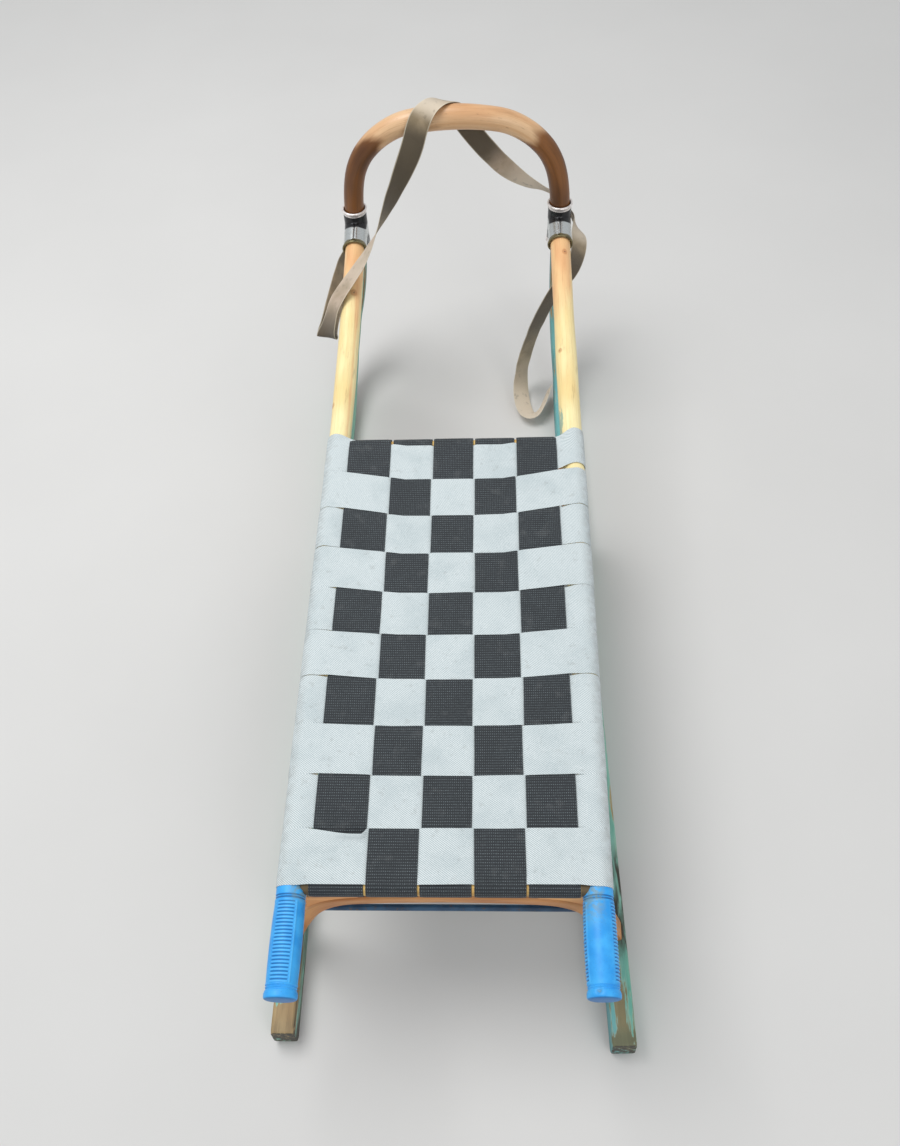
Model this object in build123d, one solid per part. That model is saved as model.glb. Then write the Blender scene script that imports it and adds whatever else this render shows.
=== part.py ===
from build123d import *
import math
import os

# Wooden pull sled with a woven webbing seat. Millimetres, +Z up, +Y forward, floor at z = 0.

SEAT_TOP = 240.0
SEAT_REAR = -429.0
SEAT_FRONT = 116.0

STRAP_T = 1.6
LONG_W = 50.0
LONG_PITCH = 52.0
LONG_COUNT = 5
CROSS_W = 52.0
CROSS_COUNT = 10
WEAVE_STEP = 1.0

RAIL_X = 149.0
RAIL_R = 14.0
RAIL_REAR = -523.5
RAIL_BEND_Y = 120.0
RAIL_RISE = 40.0
RAIL_END_Y = 501.0
HANDLE_R = 11.0

BAR_R = 8.0
BAR_INSET = 0.0

RUNNER_W = 26.5
RUNNER_H = 32.0
RUNNER_REAR = -550.4
RUNNER_END_SLANT = 10.0
RUNNER_HEEL_R = 6.0
RUNNER_BEND_R = 200.0
RUNNER_TIP_W = 24.0
RUNNER_LEFT = (
    (-552.0, 186.0),
    (326.0, 183.0),
    (420.0, 180.0),
    (465.0, 173.5),
    (495.0, 162.0),
    (515.0, 152.0),
    (545.0, 149.0),
)
RUNNER_RIGHT = ((-552.0, 186.0), (326.0, 157.0), (430.0, 156.0), (490.0, 151.5), (545.0, 149.0))
RUNNER_TAPER_Y = 326.0
SHOE_W = 20.0
SHOE_T = 3.0

JOINT_Y = 521.0
SLEEVE_R = 16.8
SLEEVE_REAR = 48.0
SLEEVE_UP = 27.0
SLEEVE_DOWN = 36.0
TENON_R = 12.0

BOW_LEAN = 4.0
BOW_END_R = 14.0
BOW_CREST_R = 16.5

ARCH_W = 22.0
ARCH_T = 19.0
ARCH_FOOT_X = 182.0
ARCH_SHOULDER_Z = 170.0
ROD_R = 3.5
ROD_Z = 135.0
ROD_LENGTH = 298.0

GRIP_FRONT = -429.0
GRIP_REAR = -529.5

CORD_R = 2.0

SEAT_MID = SEAT_TOP - STRAP_T / 2 - WEAVE_STEP
RAIL_Z = SEAT_TOP - STRAP_T - RAIL_R - 0.3
BAR_Z = SEAT_MID - WEAVE_STEP - STRAP_T / 2 - 0.2 - BAR_R
DECK_Z = SHOE_T + RUNNER_H
CROSS_PITCH = (SEAT_FRONT - SEAT_REAR) / CROSS_COUNT
BAR_REAR_Y = SEAT_REAR + BAR_INSET
BAR_FRONT_Y = SEAT_FRONT - BAR_INSET

# The rail is straight under the seat and then rises on one long arc to the sleeve.
RAIL_RUN = JOINT_Y - RAIL_BEND_Y
RAIL_SLOPE = 2 * math.degrees(math.atan(RAIL_RISE / RAIL_RUN))
RAIL_ARC = RAIL_RUN / math.sin(math.radians(RAIL_SLOPE))
JOINT_Z = RAIL_Z + RAIL_RISE

SIDES = (("left", -1, RUNNER_LEFT), ("right", 1, RUNNER_RIGHT))
parts = {}


def across(y0, y1, face):
    """Extrude a face drawn in XZ from y0 to y1."""
    return Pos(0, y0, 0) * extrude(face, y1 - y0, dir=(0, 1, 0))


def mirrored(points):
    """A list of (x, z) points from the right foot to the middle, carried on to the left foot."""
    return list(points) + [(-x, z) for x, z in reversed(points[:-1])]


def rail_path(y_end):
    turn = math.asin((y_end - RAIL_BEND_Y) / RAIL_ARC)
    mid = turn / 2
    bend = (RAIL_X, RAIL_BEND_Y, RAIL_Z)
    half = (
        RAIL_X,
        RAIL_BEND_Y + RAIL_ARC * math.sin(mid),
        RAIL_Z + RAIL_ARC * (1 - math.cos(mid)),
    )
    tip = (RAIL_X, y_end, RAIL_Z + RAIL_ARC * (1 - math.cos(turn)))
    return Line((RAIL_X, GRIP_FRONT, RAIL_Z), bend) + ThreePointArc(bend, half, tip)


def make_rail():
    """Round pole, turned down to a thinner handle where the grip is pushed on."""
    path = rail_path(RAIL_END_Y)
    start = Plane(origin=path @ 0, z_dir=path % 0)
    handle = socket((RAIL_X, RAIL_REAR, RAIL_Z), (0, 1, 0), HANDLE_R, GRIP_FRONT - RAIL_REAR + 5)
    return sweep(start * Circle(RAIL_R), path=path) + handle


def side_band(low, high, y_rear, z_tip, slant=0.0):
    """Side view of the runner between two depths, measured from the floor, its rear end cut on a slant."""
    front = JOINT_Y + RUNNER_H / 2 + SHOE_T
    centre_y = front - RUNNER_BEND_R
    centre_z = RUNNER_BEND_R
    r_out = RUNNER_BEND_R - low
    r_in = RUNNER_BEND_R - high
    d = math.sqrt(0.5)
    with BuildSketch(Plane.YZ) as view:
        with BuildLine():
            Polyline(
                (centre_y, high),
                (y_rear + slant, high),
                (y_rear, low),
                (centre_y, low),
            )
            ThreePointArc(
                (centre_y, low),
                (centre_y + r_out * d, centre_z - r_out * d),
                (centre_y + r_out, centre_z),
            )
            Polyline(
                (centre_y + r_out, centre_z),
                (centre_y + r_out, z_tip),
                (centre_y + r_in, z_tip),
                (centre_y + r_in, centre_z),
            )
            ThreePointArc(
                (centre_y + r_in, centre_z),
                (centre_y + r_in * d, centre_z - r_in * d),
                (centre_y, high),
            )
        make_face()
    return view.sketch


def plan_band(line, width, tip_width):
    """Top view of the runner: parallel at the back, drawn in and narrowed to the sleeve."""
    tip_y = line[-1][0]
    outer = []
    inner = []
    for y, x in line:
        taper = max(0, (y - RUNNER_TAPER_Y) / (tip_y - RUNNER_TAPER_Y))
        half = (width + (tip_width - width) * taper) / 2
        outer.append((x + half, y))
        inner.append((x - half, y))
    return make_face(Polyline(*outer, *reversed(inner), close=True))


def make_runner(line):
    view = side_band(SHOE_T, DECK_Z, RUNNER_REAR, JOINT_Z - SLEEVE_DOWN, RUNNER_END_SLANT)
    side = extrude(view, 260, dir=(1, 0, 0))
    plan = extrude(plan_band(line, RUNNER_W, RUNNER_TIP_W), 400)
    body = side & plan
    heel = body.edges().filter_by(Axis.X).sort_by(Axis.Y)[0]
    body = fillet(heel, RUNNER_HEEL_R)
    tenon = Pos(RAIL_X, JOINT_Y, JOINT_Z - SLEEVE_DOWN) * Cylinder(
        TENON_R, 18, align=(Align.CENTER, Align.CENTER, Align.MIN)
    )
    return body + tenon


def make_shoe(line):
    side = extrude(side_band(0, SHOE_T, RUNNER_REAR + 12, 168), 260, dir=(1, 0, 0))
    return side & extrude(plan_band(line, SHOE_W, SHOE_W - 2), 400)


def socket(origin, direction, radius, length):
    plane = Plane(origin=origin, z_dir=direction)
    return plane * Cylinder(radius, length, align=(Align.CENTER, Align.CENTER, Align.MIN))


def rim(origin, direction, length):
    plane = Plane(origin=origin, z_dir=direction)
    return plane * Pos(0, 0, length - 1.6) * Torus(SLEEVE_R, 1.6)


def make_sleeve(x):
    """Three-way tube joint: rail from behind, bow above, runner tip below."""
    centre = (x, JOINT_Y, JOINT_Z)
    slope = math.radians(RAIL_SLOPE)
    lean = math.radians(BOW_LEAN)
    back = (0, -math.cos(slope), -math.sin(slope))
    up = (0, math.sin(lean), math.cos(lean))
    down = (0, 0, -1)
    body = Pos(*centre) * Sphere(SLEEVE_R)
    for direction, length in ((back, SLEEVE_REAR), (up, SLEEVE_UP), (down, SLEEVE_DOWN)):
        body += socket(centre, direction, SLEEVE_R, length)
    for direction, length in ((back, SLEEVE_REAR), (up, SLEEVE_UP), (down, SLEEVE_DOWN)):
        body += rim(centre, direction, length)
    return body


def make_bow():
    lean = Plane(
        origin=(0, JOINT_Y, JOINT_Z),
        x_dir=(1, 0, 0),
        z_dir=(0, -math.cos(math.radians(BOW_LEAN)), math.sin(math.radians(BOW_LEAN))),
    )
    half = [(149, 8), (148, 38), (143.5, 68), (136, 91), (123, 112), (101, 131.5), (72, 145), (36, 151), (0, 153)]
    path = Spline(
        *[lean.from_local_coords((x, z, 0)) for x, z in mirrored(half)],
        tangents=(lean.y_dir, -lean.y_dir),
    )
    stations = (
        (0.0, BOW_END_R),
        (0.1, BOW_END_R),
        (0.3, BOW_CREST_R - 0.8),
        (0.5, BOW_CREST_R),
        (0.7, BOW_CREST_R - 0.8),
        (0.9, BOW_END_R),
        (1.0, BOW_END_R),
    )
    rings = [Plane(origin=path @ t, z_dir=path % t) * Circle(r) for t, r in stations]
    return sweep(rings, path=path, multisection=True)


def runner_x(line, y):
    """Middle of a runner where it lies on the ground, measured from the sled's middle."""
    (y0, x0), (y1, x1) = line[:2]
    return x0 + (x1 - x0) * (y - y0) / (y1 - y0)


def make_arch(y_face, forward):
    """Bent wooden arch in a plane across the sled, its feet standing on the runners."""
    y = y_face + forward * ARCH_W / 2
    half = [
        (ARCH_FOOT_X, 18),
        (178, 40),
        (166, 85),
        (152, 130),
        (140, 160),
        (125, 182),
        (105, 196.5),
        (75, 203.5),
        (40, 207),
        (0, 208.5),
    ]
    legs = {}
    for _, sign, line in SIDES:
        shift = runner_x(line, y) + 1 - ARCH_FOOT_X
        legs[sign] = [(sign * (x + shift * max(0, 1 - z / ARCH_SHOULDER_Z)), y, z) for x, z in half]
    path = Spline(*legs[1], *reversed(legs[-1][:-1]))
    plane = Plane(origin=path @ 0, z_dir=path % 0, x_dir=(0, 1, 0))
    band = sweep(plane * Rectangle(ARCH_W, ARCH_T), path=path)
    return band & Pos(0, 0, DECK_Z) * Box(600, 1400, 300, align=(Align.CENTER, Align.CENTER, Align.MIN))


def make_bar(y):
    bar = Pos(0, y, BAR_Z) * Rot(0, 90, 0) * Cylinder(BAR_R, 2 * RAIL_X)
    return bar


def make_block(y_face, forward, sign, arch):
    """Wedge between the arch's shoulder and the straight bar above it."""
    top = BAR_Z - BAR_R - STRAP_T - 0.5
    corners = ((84, top), (133.5, top), (138.2, 211.5), (142, 192), (144.5, 170), (112, 176))
    outline = make_face(Plane.XZ * Polyline(*[(sign * x, z) for x, z in corners], close=True))
    y0, y1 = sorted((y_face + forward * 2, y_face + forward * (ARCH_W - 2)))
    block = across(y0, y1, outline) - arch
    return block.solids().sort_by(Axis.Z)[-1]


def weave_levels(count, over_first):
    return [1 if (i % 2 == 0) == over_first else -1 for i in range(count)]


def strap_face(levels, centres, width, bar_at, bar_z, bar_r, wrap):
    """Section of one strap: it goes over and under its neighbours and round the bar at each end."""
    t = STRAP_T / 2
    ring = bar_r + 0.1
    line = [(-bar_at, bar_z + ring + t)]
    for level, centre in zip(levels, centres):
        z = SEAT_MID + level * WEAVE_STEP
        line.append((centre - width / 2, z))
        line.append((centre + width / 2, z))
    line.append((bar_at, bar_z + ring + t))
    a = math.radians(90 - wrap)
    m = math.radians(90 - wrap / 2)

    def on_ring(side, radius, angle):
        return (side * (bar_at + radius * math.cos(angle)), bar_z + radius * math.sin(angle))

    top = [(s, z + t) for s, z in line]
    low = [(s, z - t) for s, z in line]
    edges = [Polyline(*top), Polyline(*low)]
    for side, index in ((-1, 0), (1, -1)):
        edges.append(ThreePointArc(top[index], on_ring(side, ring + STRAP_T, m), on_ring(side, ring + STRAP_T, a)))
        edges.append(ThreePointArc(low[index], on_ring(side, ring, m), on_ring(side, ring, a)))
        edges.append(Line(on_ring(side, ring, a), on_ring(side, ring + STRAP_T, a)))
    return make_face(edges)


def make_long_strap(index):
    x = (index - (LONG_COUNT - 1) / 2) * LONG_PITCH
    mid = (SEAT_REAR + SEAT_FRONT) / 2
    centres = [(row - (CROSS_COUNT - 1) / 2) * CROSS_PITCH for row in range(CROSS_COUNT)]
    levels = weave_levels(CROSS_COUNT, index % 2 == 1)
    face = strap_face(levels, centres, CROSS_W, (BAR_FRONT_Y - BAR_REAR_Y) / 2, BAR_Z, BAR_R, 200)
    solid = extrude(Plane(origin=(x - LONG_W / 2, mid, 0), x_dir=(0, 1, 0), z_dir=(1, 0, 0)) * face, LONG_W)
    return solid


def make_cross_strap(row):
    y = SEAT_FRONT - (row + 0.5) * CROSS_PITCH
    centres = [(i - (LONG_COUNT - 1) / 2) * LONG_PITCH for i in range(LONG_COUNT)]
    levels = weave_levels(LONG_COUNT, row % 2 == 1)
    face = strap_face(levels, centres, LONG_W, RAIL_X, RAIL_Z, RAIL_R, 210)
    return extrude(Plane(origin=(0, y + CROSS_W / 2, 0), x_dir=(1, 0, 0), z_dir=(0, -1, 0)) * face, CROSS_W)


def make_grip():
    """Soft handlebar grip with a grooved collar and a flared, closed end."""
    length = GRIP_FRONT - GRIP_REAR
    profile = [
        (HANDLE_R, 0),
        (14.3, 0),
        (14.6, 0.6),
        (14.6, 6.8),
        (13.7, 7),
        (13.7, 7.7),
        (14.6, 7.9),
        (14.6, 8.8),
        (13.7, 9),
        (13.7, 9.7),
        (14.6, 9.9),
        (15.1, 26),
        (15.7, 50),
        (15.6, 68),
        (15.1, length - 18),
        (14.2, length - 17.6),
        (14.2, length - 16.8),
        (15.0, length - 16.4),
        (15.0, length - 15.8),
        (14.2, length - 15.4),
        (14.2, length - 14.6),
        (15.1, length - 14.2),
        (15.9, length - 4),
        (15.6, length - 1.5),
        (13.6, length),
        (0, length),
        (0, length - 6),
        (HANDLE_R, length - 6),
    ]
    face = make_face(Polyline(*profile, close=True))
    solid = revolve(face, Axis.Y)
    return Pos(RAIL_X, GRIP_FRONT, RAIL_Z) * Rot(180, 0, 0) * solid


STRAP_ROUTE = [
    (-170.5, 512, 214),
    (-174, 482, 216),
    (-177, 447, 212),
    (-185, 404, 206),
    (-190, 366, 202),
    (-192, 344, 208),
    (-188, 341, 222),
    (-177, 351, 233),
    (-163, 368, 249),
    (-149, 390, 263),
    (-131, 411, 284),
    (-112, 432, 310),
    (-90, 458, 344),
    (-70, 482, 372),
    (-55, 497, 399),
    (-48, 507.5, 420),
    (-41, 514.5, 433.5),
    (-31, 526, 440.2),
    (-19, 538.5, 440),
    (-9, 549.5, 432.5),
    (0, 555.5, 420),
    (9, 556.5, 405),
    (23, 555, 384),
    (45, 554.5, 355),
    (72, 554, 325),
    (101, 553, 305),
    (131, 551, 294),
    (154, 548, 286),
    (171, 541, 275),
    (181, 524, 262),
    (182, 503, 251),
    (176, 478, 240),
    (166, 455, 227),
    (149, 439, 218),
    (131, 428, 196),
    (117, 425, 160),
    (105, 430, 115),
    (95, 436, 70),
    (90, 434, 34),
    (90, 420, 10),
    (91, 396, 4),
    (95, 373, 3.5),
    (109, 365, 5),
    (124, 375, 10),
    (134, 392, 18),
    (141, 410, 28),
]


def make_cord():
    """Webbing pull strap as a thin tube: straight runs joined by tangent arcs."""
    points = [Vector(*p) for p in STRAP_ROUTE]
    runs = [(b - a) for a, b in zip(points, points[1:])]
    radii = []
    for first, second in zip(runs, runs[1:]):
        half = math.radians(first.get_angle(second)) / 2
        radii.append(0.45 * min(first.length, second.length) / math.tan(half))
    print("strap runs", [round(r.length) for r in runs])
    print("strap radii", [round(r) for r in radii])
    path = FilletPolyline(*points, radius=radii)
    tube = sweep(Plane(origin=path @ 0, z_dir=path % 0) * Circle(CORD_R), path=path)
    print("strap length", round(path.length, 1), "volume over section", round(tube.volume / (math.pi * CORD_R**2), 1))
    return tube


def add(name, shape, colour):
    shape.label = name
    shape.color = Color(*colour)
    parts[name] = shape


WOOD = (0.90, 0.76, 0.52)
BENT = (0.78, 0.50, 0.24)
TEAL = (0.34, 0.60, 0.57)
STEEL = (0.55, 0.56, 0.58)
LIGHT = (0.75, 0.80, 0.83)
BLACK = (0.16, 0.18, 0.21)
BLUE = (0.16, 0.58, 0.90)
KHAKI = (0.62, 0.55, 0.43)

rail = make_rail()
bow = make_bow()
grip = make_grip()

for side, sign, line in SIDES:
    for name, shape, colour in (
        ("runner", make_runner(line), TEAL),
        ("runner_shoe", make_shoe(line), STEEL),
        ("seat_rail", rail, WOOD),
        ("grip", grip, BLUE),
    ):
        solid = shape if sign > 0 else mirror(shape, about=Plane.YZ)
        add(f"{name}_{side}", solid, colour)

add("front_bow", bow, BENT)

for side, sign, line in SIDES:
    sleeve = make_sleeve(sign * RAIL_X)
    for name in (f"seat_rail_{side}", f"runner_{side}", "front_bow"):
        sleeve -= parts[name]
    add(f"sleeve_{side}", sleeve.solids().sort_by(SortBy.VOLUME)[-1], STEEL)

rails = parts["seat_rail_left"] + parts["seat_rail_right"] + parts["grip_left"] + parts["grip_right"]
for end, y_bar, y_face, forward in (
    ("rear", BAR_REAR_Y, SEAT_REAR - 8, 1),
    ("front", BAR_FRONT_Y, SEAT_FRONT + 8, -1),
):
    arch = make_arch(y_face, forward)
    add(f"crossbar_{end}", (make_bar(y_bar) - rails).solids().sort_by(SortBy.VOLUME)[-1], WOOD)
    for side, sign, line in SIDES:
        add(f"arch_block_{end}_{side}", make_block(y_face, forward, sign, arch), BENT)
    rod_y = y_face + forward * ARCH_W / 2
    rod = Pos(0, rod_y, ROD_Z) * Rot(0, 90, 0) * Cylinder(ROD_R, ROD_LENGTH)
    add(f"brace_rod_{end}", rod, BLUE)
    add(f"{end}_arch", arch - rod, BENT)

for i in range(LONG_COUNT):
    add(f"long_strap_{i + 1}", make_long_strap(i), BLACK)

for row in range(CROSS_COUNT):
    add(f"cross_strap_{row + 1}", make_cross_strap(row), LIGHT)

add("pull_strap", make_cord(), KHAKI)

os.makedirs("parts", exist_ok=True)
for name, shape in parts.items():
    solids = shape.solids()
    box = shape.bounding_box()
    size = tuple(round(v, 1) for v in (*box.min, *box.max))
    print(f"{name:24s} solids {len(solids)}  volume {shape.volume / 1000:9.1f} cm3  box {size}")
    export_step(shape, f"parts/{name}.step")
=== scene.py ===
import math

import bmesh
import bpy
import numpy as np
from mathutils import Matrix, Vector


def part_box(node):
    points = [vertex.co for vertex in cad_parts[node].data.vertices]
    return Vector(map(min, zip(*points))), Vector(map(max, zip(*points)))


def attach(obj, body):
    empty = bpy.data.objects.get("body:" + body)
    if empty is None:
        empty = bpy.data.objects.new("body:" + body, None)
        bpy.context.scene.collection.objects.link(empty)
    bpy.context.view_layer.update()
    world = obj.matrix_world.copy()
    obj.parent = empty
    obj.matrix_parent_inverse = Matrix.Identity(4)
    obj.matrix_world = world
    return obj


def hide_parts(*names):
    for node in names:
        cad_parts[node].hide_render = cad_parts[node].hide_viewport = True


# A wooden pull sled with a woven webbing seat, in metres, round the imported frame.

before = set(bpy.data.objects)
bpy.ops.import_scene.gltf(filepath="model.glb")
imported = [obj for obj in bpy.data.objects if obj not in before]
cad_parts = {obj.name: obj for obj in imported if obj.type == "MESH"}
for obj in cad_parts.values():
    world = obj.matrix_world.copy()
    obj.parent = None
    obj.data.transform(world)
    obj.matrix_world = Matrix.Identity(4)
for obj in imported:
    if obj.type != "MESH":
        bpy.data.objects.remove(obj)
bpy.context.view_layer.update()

MM = 0.001


def add_object(name, data):
    obj = bpy.data.objects.new(name, data)
    bpy.context.scene.collection.objects.link(obj)
    return obj


def middle(node):
    low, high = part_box(node)
    return (low + high) / 2


def size(node):
    low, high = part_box(node)
    return high - low


# Places and sizes read from the frame

RAIL_R = size("seat_rail_right").x / 2
RAIL_X = middle("seat_rail_right").x
RAIL_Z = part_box("seat_rail_right")[0].z + RAIL_R
BAR_R = size("crossbar_rear").z / 2
BAR_Z = middle("crossbar_rear").z
BAR_REAR_Y = middle("crossbar_rear").y
BAR_FRONT_Y = middle("crossbar_front").y
SEAT_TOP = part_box("long_strap_1")[1].z
LONG_COUNT = 5
CROSS_COUNT = 10
LONG_PITCH = middle("long_strap_2").x - middle("long_strap_1").x
CROSS_PITCH = (BAR_FRONT_Y - BAR_REAR_Y) / CROSS_COUNT
GRIP_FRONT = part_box("grip_right")[1].y
DECK_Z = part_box("rear_arch")[0].z
SHOE_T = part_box("runner_right")[0].z
SHOE_REAR_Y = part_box("runner_right")[0].y + 12 * MM
SHOE_END_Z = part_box("runner_shoe_right")[1].z

# Driving dimensions of the curved pieces, as the frame was drawn

RAIL_BEND_Y = 120 * MM
RAIL_RISE = 40 * MM
RAIL_END_Y = 501 * MM
JOINT_Y = 521 * MM
JOINT_Z = RAIL_Z + RAIL_RISE
SLEEVE_R = 16.8 * MM
SLEEVE_REAR = 48 * MM
SLEEVE_UP = 27 * MM
SLEEVE_DOWN = 36 * MM
RIM_R = 1.6 * MM
BOW_LEAN = math.radians(4)
BOW_LEG_R = 14 * MM
RUNNER_W = 26.5 * MM
RUNNER_TIP_W = 24 * MM
RUNNER_TIP_Y = 545 * MM
RUNNER_H = 32 * MM
RUNNER_BEND_R = 200 * MM
RUNNER_TAPER_Y = 326 * MM
RUNNER_REAR = {"left": -541 * MM, "right": -549 * MM}
SHOE_W = 20 * MM
ARCH_W = 22 * MM
ARCH_T = 19 * MM
ARCH_FOOT_X = 182 * MM
ARCH_SHOULDER_Z = 170 * MM
STRAP_W = 30 * MM
STRAP_T = 1.3 * MM

# Small departures from the frame that the photo shows

BAR_AHEAD_Y = BAR_FRONT_Y + 5 * MM
BOW_CREST_R = 15.7 * MM
BOW_CREST_LIFT = 3.5 * MM
RUNNER_SLANT = 5.7 * MM

SIDES = (("left", -1), ("right", 1))

# Top view of each runner's middle line: (place along the sled, distance from the middle) in mm

RUNNER_PLAN = {
    "left": (
        (-552, 186), (326, 186), (420, 184), (465, 180), (495, 173),
        (510, 164), (518, 158.5), (521, 155), (545, 152),
    ),
    "right": ((-552, 182), (326, 160.5), (430, 159.5), (490, 154), (545, 150)),
}

# The loose frame leans to the left at the back of the seat, by so much at each rail

RACK = {"left": 2.2 * MM, "right": 4.5 * MM}


def rack(x, y):
    """How far to the left of the frame's own place a spot of the seat or the rails lies."""
    across = 0.5 * (RACK["left"] + RACK["right"]) + 0.5 * (RACK["right"] - RACK["left"]) * x / RAIL_X
    return across * np.clip((BAR_FRONT_Y - y) / (BAR_FRONT_Y - BAR_REAR_Y), 0, 1.1)


# Camera at the photograph's place: behind the sled, above it, looking forward and steeply down

CAMERA_PLACE = (48.5 * MM, -667 * MM, 1159.5 * MM)
CAMERA_PITCH = math.radians(57.24)
CAMERA_YAW = math.radians(-4.91)
CAMERA_ROLL = math.radians(-4.74)
FOCAL_PIXELS = 950
PHOTO_HEIGHT = 1146
SENSOR = 36.0


def add_camera():
    data = bpy.data.cameras.new("camera")
    data.sensor_fit = "VERTICAL"
    data.sensor_height = SENSOR
    data.lens = SENSOR * FOCAL_PIXELS / PHOTO_HEIGHT
    data.clip_start = 0.01
    camera = add_object("camera", data)
    ahead = Vector((
        math.sin(CAMERA_YAW) * math.cos(CAMERA_PITCH),
        math.cos(CAMERA_YAW) * math.cos(CAMERA_PITCH),
        -math.sin(CAMERA_PITCH),
    ))
    level = Vector((math.cos(CAMERA_YAW), -math.sin(CAMERA_YAW), 0))
    above = level.cross(ahead)
    right = math.cos(CAMERA_ROLL) * level + math.sin(CAMERA_ROLL) * above
    up = -math.sin(CAMERA_ROLL) * level + math.cos(CAMERA_ROLL) * above
    turn = Matrix((right, up, -ahead)).transposed().to_4x4()
    camera.matrix_world = Matrix.Translation(CAMERA_PLACE) @ turn
    bpy.context.scene.camera = camera


add_camera()


# Lines and curves


def run_along(line):
    """Distance along a line of points, at each of them."""
    return np.concatenate([[0], np.cumsum(np.linalg.norm(np.diff(line, axis=0), axis=1))])


def evenly(line, step):
    """The same line with points at an even distance."""
    run = run_along(line)
    places = np.linspace(0, run[-1], max(2, round(run[-1] / step)) + 1)
    return np.column_stack([np.interp(places, run, line[:, k]) for k in range(3)])


def smooth_line(points, step):
    """An even line on a smooth curve through a few points."""
    p = np.array(points, float)
    p = np.vstack([2 * p[0] - p[1], p, 2 * p[-1] - p[-2]])
    t = np.linspace(0, 1, 24, endpoint=False)[:, None]
    dense = []
    for a, b, c, d in zip(p, p[1:], p[2:], p[3:]):
        square = 2 * a - 5 * b + 4 * c - d
        cube = 3 * b - a - 3 * c + d
        dense.append(0.5 * (2 * b + (c - a) * t + square * t**2 + cube * t**3))
    dense.append(p[-2][None])
    return evenly(np.vstack(dense), step)


def unit(v):
    return v / np.maximum(np.linalg.norm(v, axis=-1, keepdims=True), 1e-12)


def directions(line, side):
    """Along, side and up at each point of a line. The side stays as near as it can to the one given."""
    along = unit(np.gradient(line, axis=0))
    side = np.broadcast_to(np.array(side, float), line.shape)
    side = unit(side - along * np.sum(side * along, axis=1, keepdims=True))
    return along, side, np.cross(side, along)


def smoothed(values, reach):
    """Running mean over that many points each way, with the ends held."""
    padded = np.concatenate([np.repeat(values[:1], reach, 0), values, np.repeat(values[-1:], reach, 0)])
    kernel = np.hanning(2 * reach + 3)[1:-1]
    kernel /= kernel.sum()
    return np.column_stack([np.convolve(padded[:, k], kernel, "valid") for k in range(values.shape[1])])


def smoothstep(x, low, high):
    t = np.clip((x - low) / (high - low), 0, 1)
    return t * t * (3 - 2 * t)


def ramp(x, low, high):
    """A smooth step of a length between two places in millimetres, falling where low is above high."""
    return smoothstep(x, low * MM, high * MM)


def hump(x, centre, width):
    """A smooth peak of height 1."""
    return np.exp(-(((x - centre) / width) ** 2))


def turn_from(angle, start):
    """Angle from a start, between minus and plus half a turn."""
    return (angle - start + math.pi) % (2 * math.pi) - math.pi


def ripple(x, seed):
    """A slow, uneven wave between about -1 and 1, of a period near 1."""
    total = 0
    for k, strength in enumerate((0.45, 0.3, 0.25)):
        total = total + strength * np.sin(2 * math.pi * x * (0.61 + 0.57 * k) + seed * (2.3 + 1.7 * k))
    return total


# Meshes


def places_of(mesh):
    place = np.zeros(len(mesh.vertices) * 3)
    mesh.vertices.foreach_get("co", place)
    return place.reshape(-1, 3)


def add_layer(mesh, key, values):
    """A number or a vector at each vertex, for the materials to read."""
    values = np.asarray(values, np.float32).reshape(-1)
    vectors = values.size == 3 * len(mesh.vertices)
    layer = mesh.attributes.new(key, "FLOAT_VECTOR" if vectors else "FLOAT", "POINT")
    layer.data.foreach_set("vector" if vectors else "value", values)


def shade(mesh, sharp):
    """Smooth shading, but for edges over that many degrees."""
    mesh.polygons.foreach_set("use_smooth", [True] * len(mesh.polygons))
    mesh.set_sharp_from_angle(angle=math.radians(sharp))


def make_object(name, vertices, faces, sharp, layers=()):
    """A mesh object with outward faces and its layers."""
    mesh = bpy.data.meshes.new(name)
    mesh.from_pydata(np.asarray(vertices).reshape(-1, 3).tolist(), [], faces)
    for key, values in dict(layers).items():
        add_layer(mesh, key, values)
    work = bmesh.new()
    work.from_mesh(mesh)
    bmesh.ops.recalc_face_normals(work, faces=work.faces)
    work.to_mesh(mesh)
    work.free()
    shade(mesh, sharp)
    return add_object(name, mesh)


def tube_faces(count, around, capped=True, closed=False):
    """Faces of a tube of rings, with its ends capped, open, or joined to each other."""
    index = np.arange(count * around).reshape(count, around)
    if closed:
        index = np.vstack([index, index[:1]])
    turned = np.roll(index, -1, axis=1)
    faces = np.stack([index[:-1], turned[:-1], turned[1:], index[1:]], axis=-1).reshape(-1, 4).tolist()
    if capped:
        faces += [index[0].tolist()[::-1], index[-1].tolist()]
    return faces


def skin(name, rings, layers, sharp=50):
    return make_object(name, rings, tube_faces(*rings.shape[:2]), sharp, layers)


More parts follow.
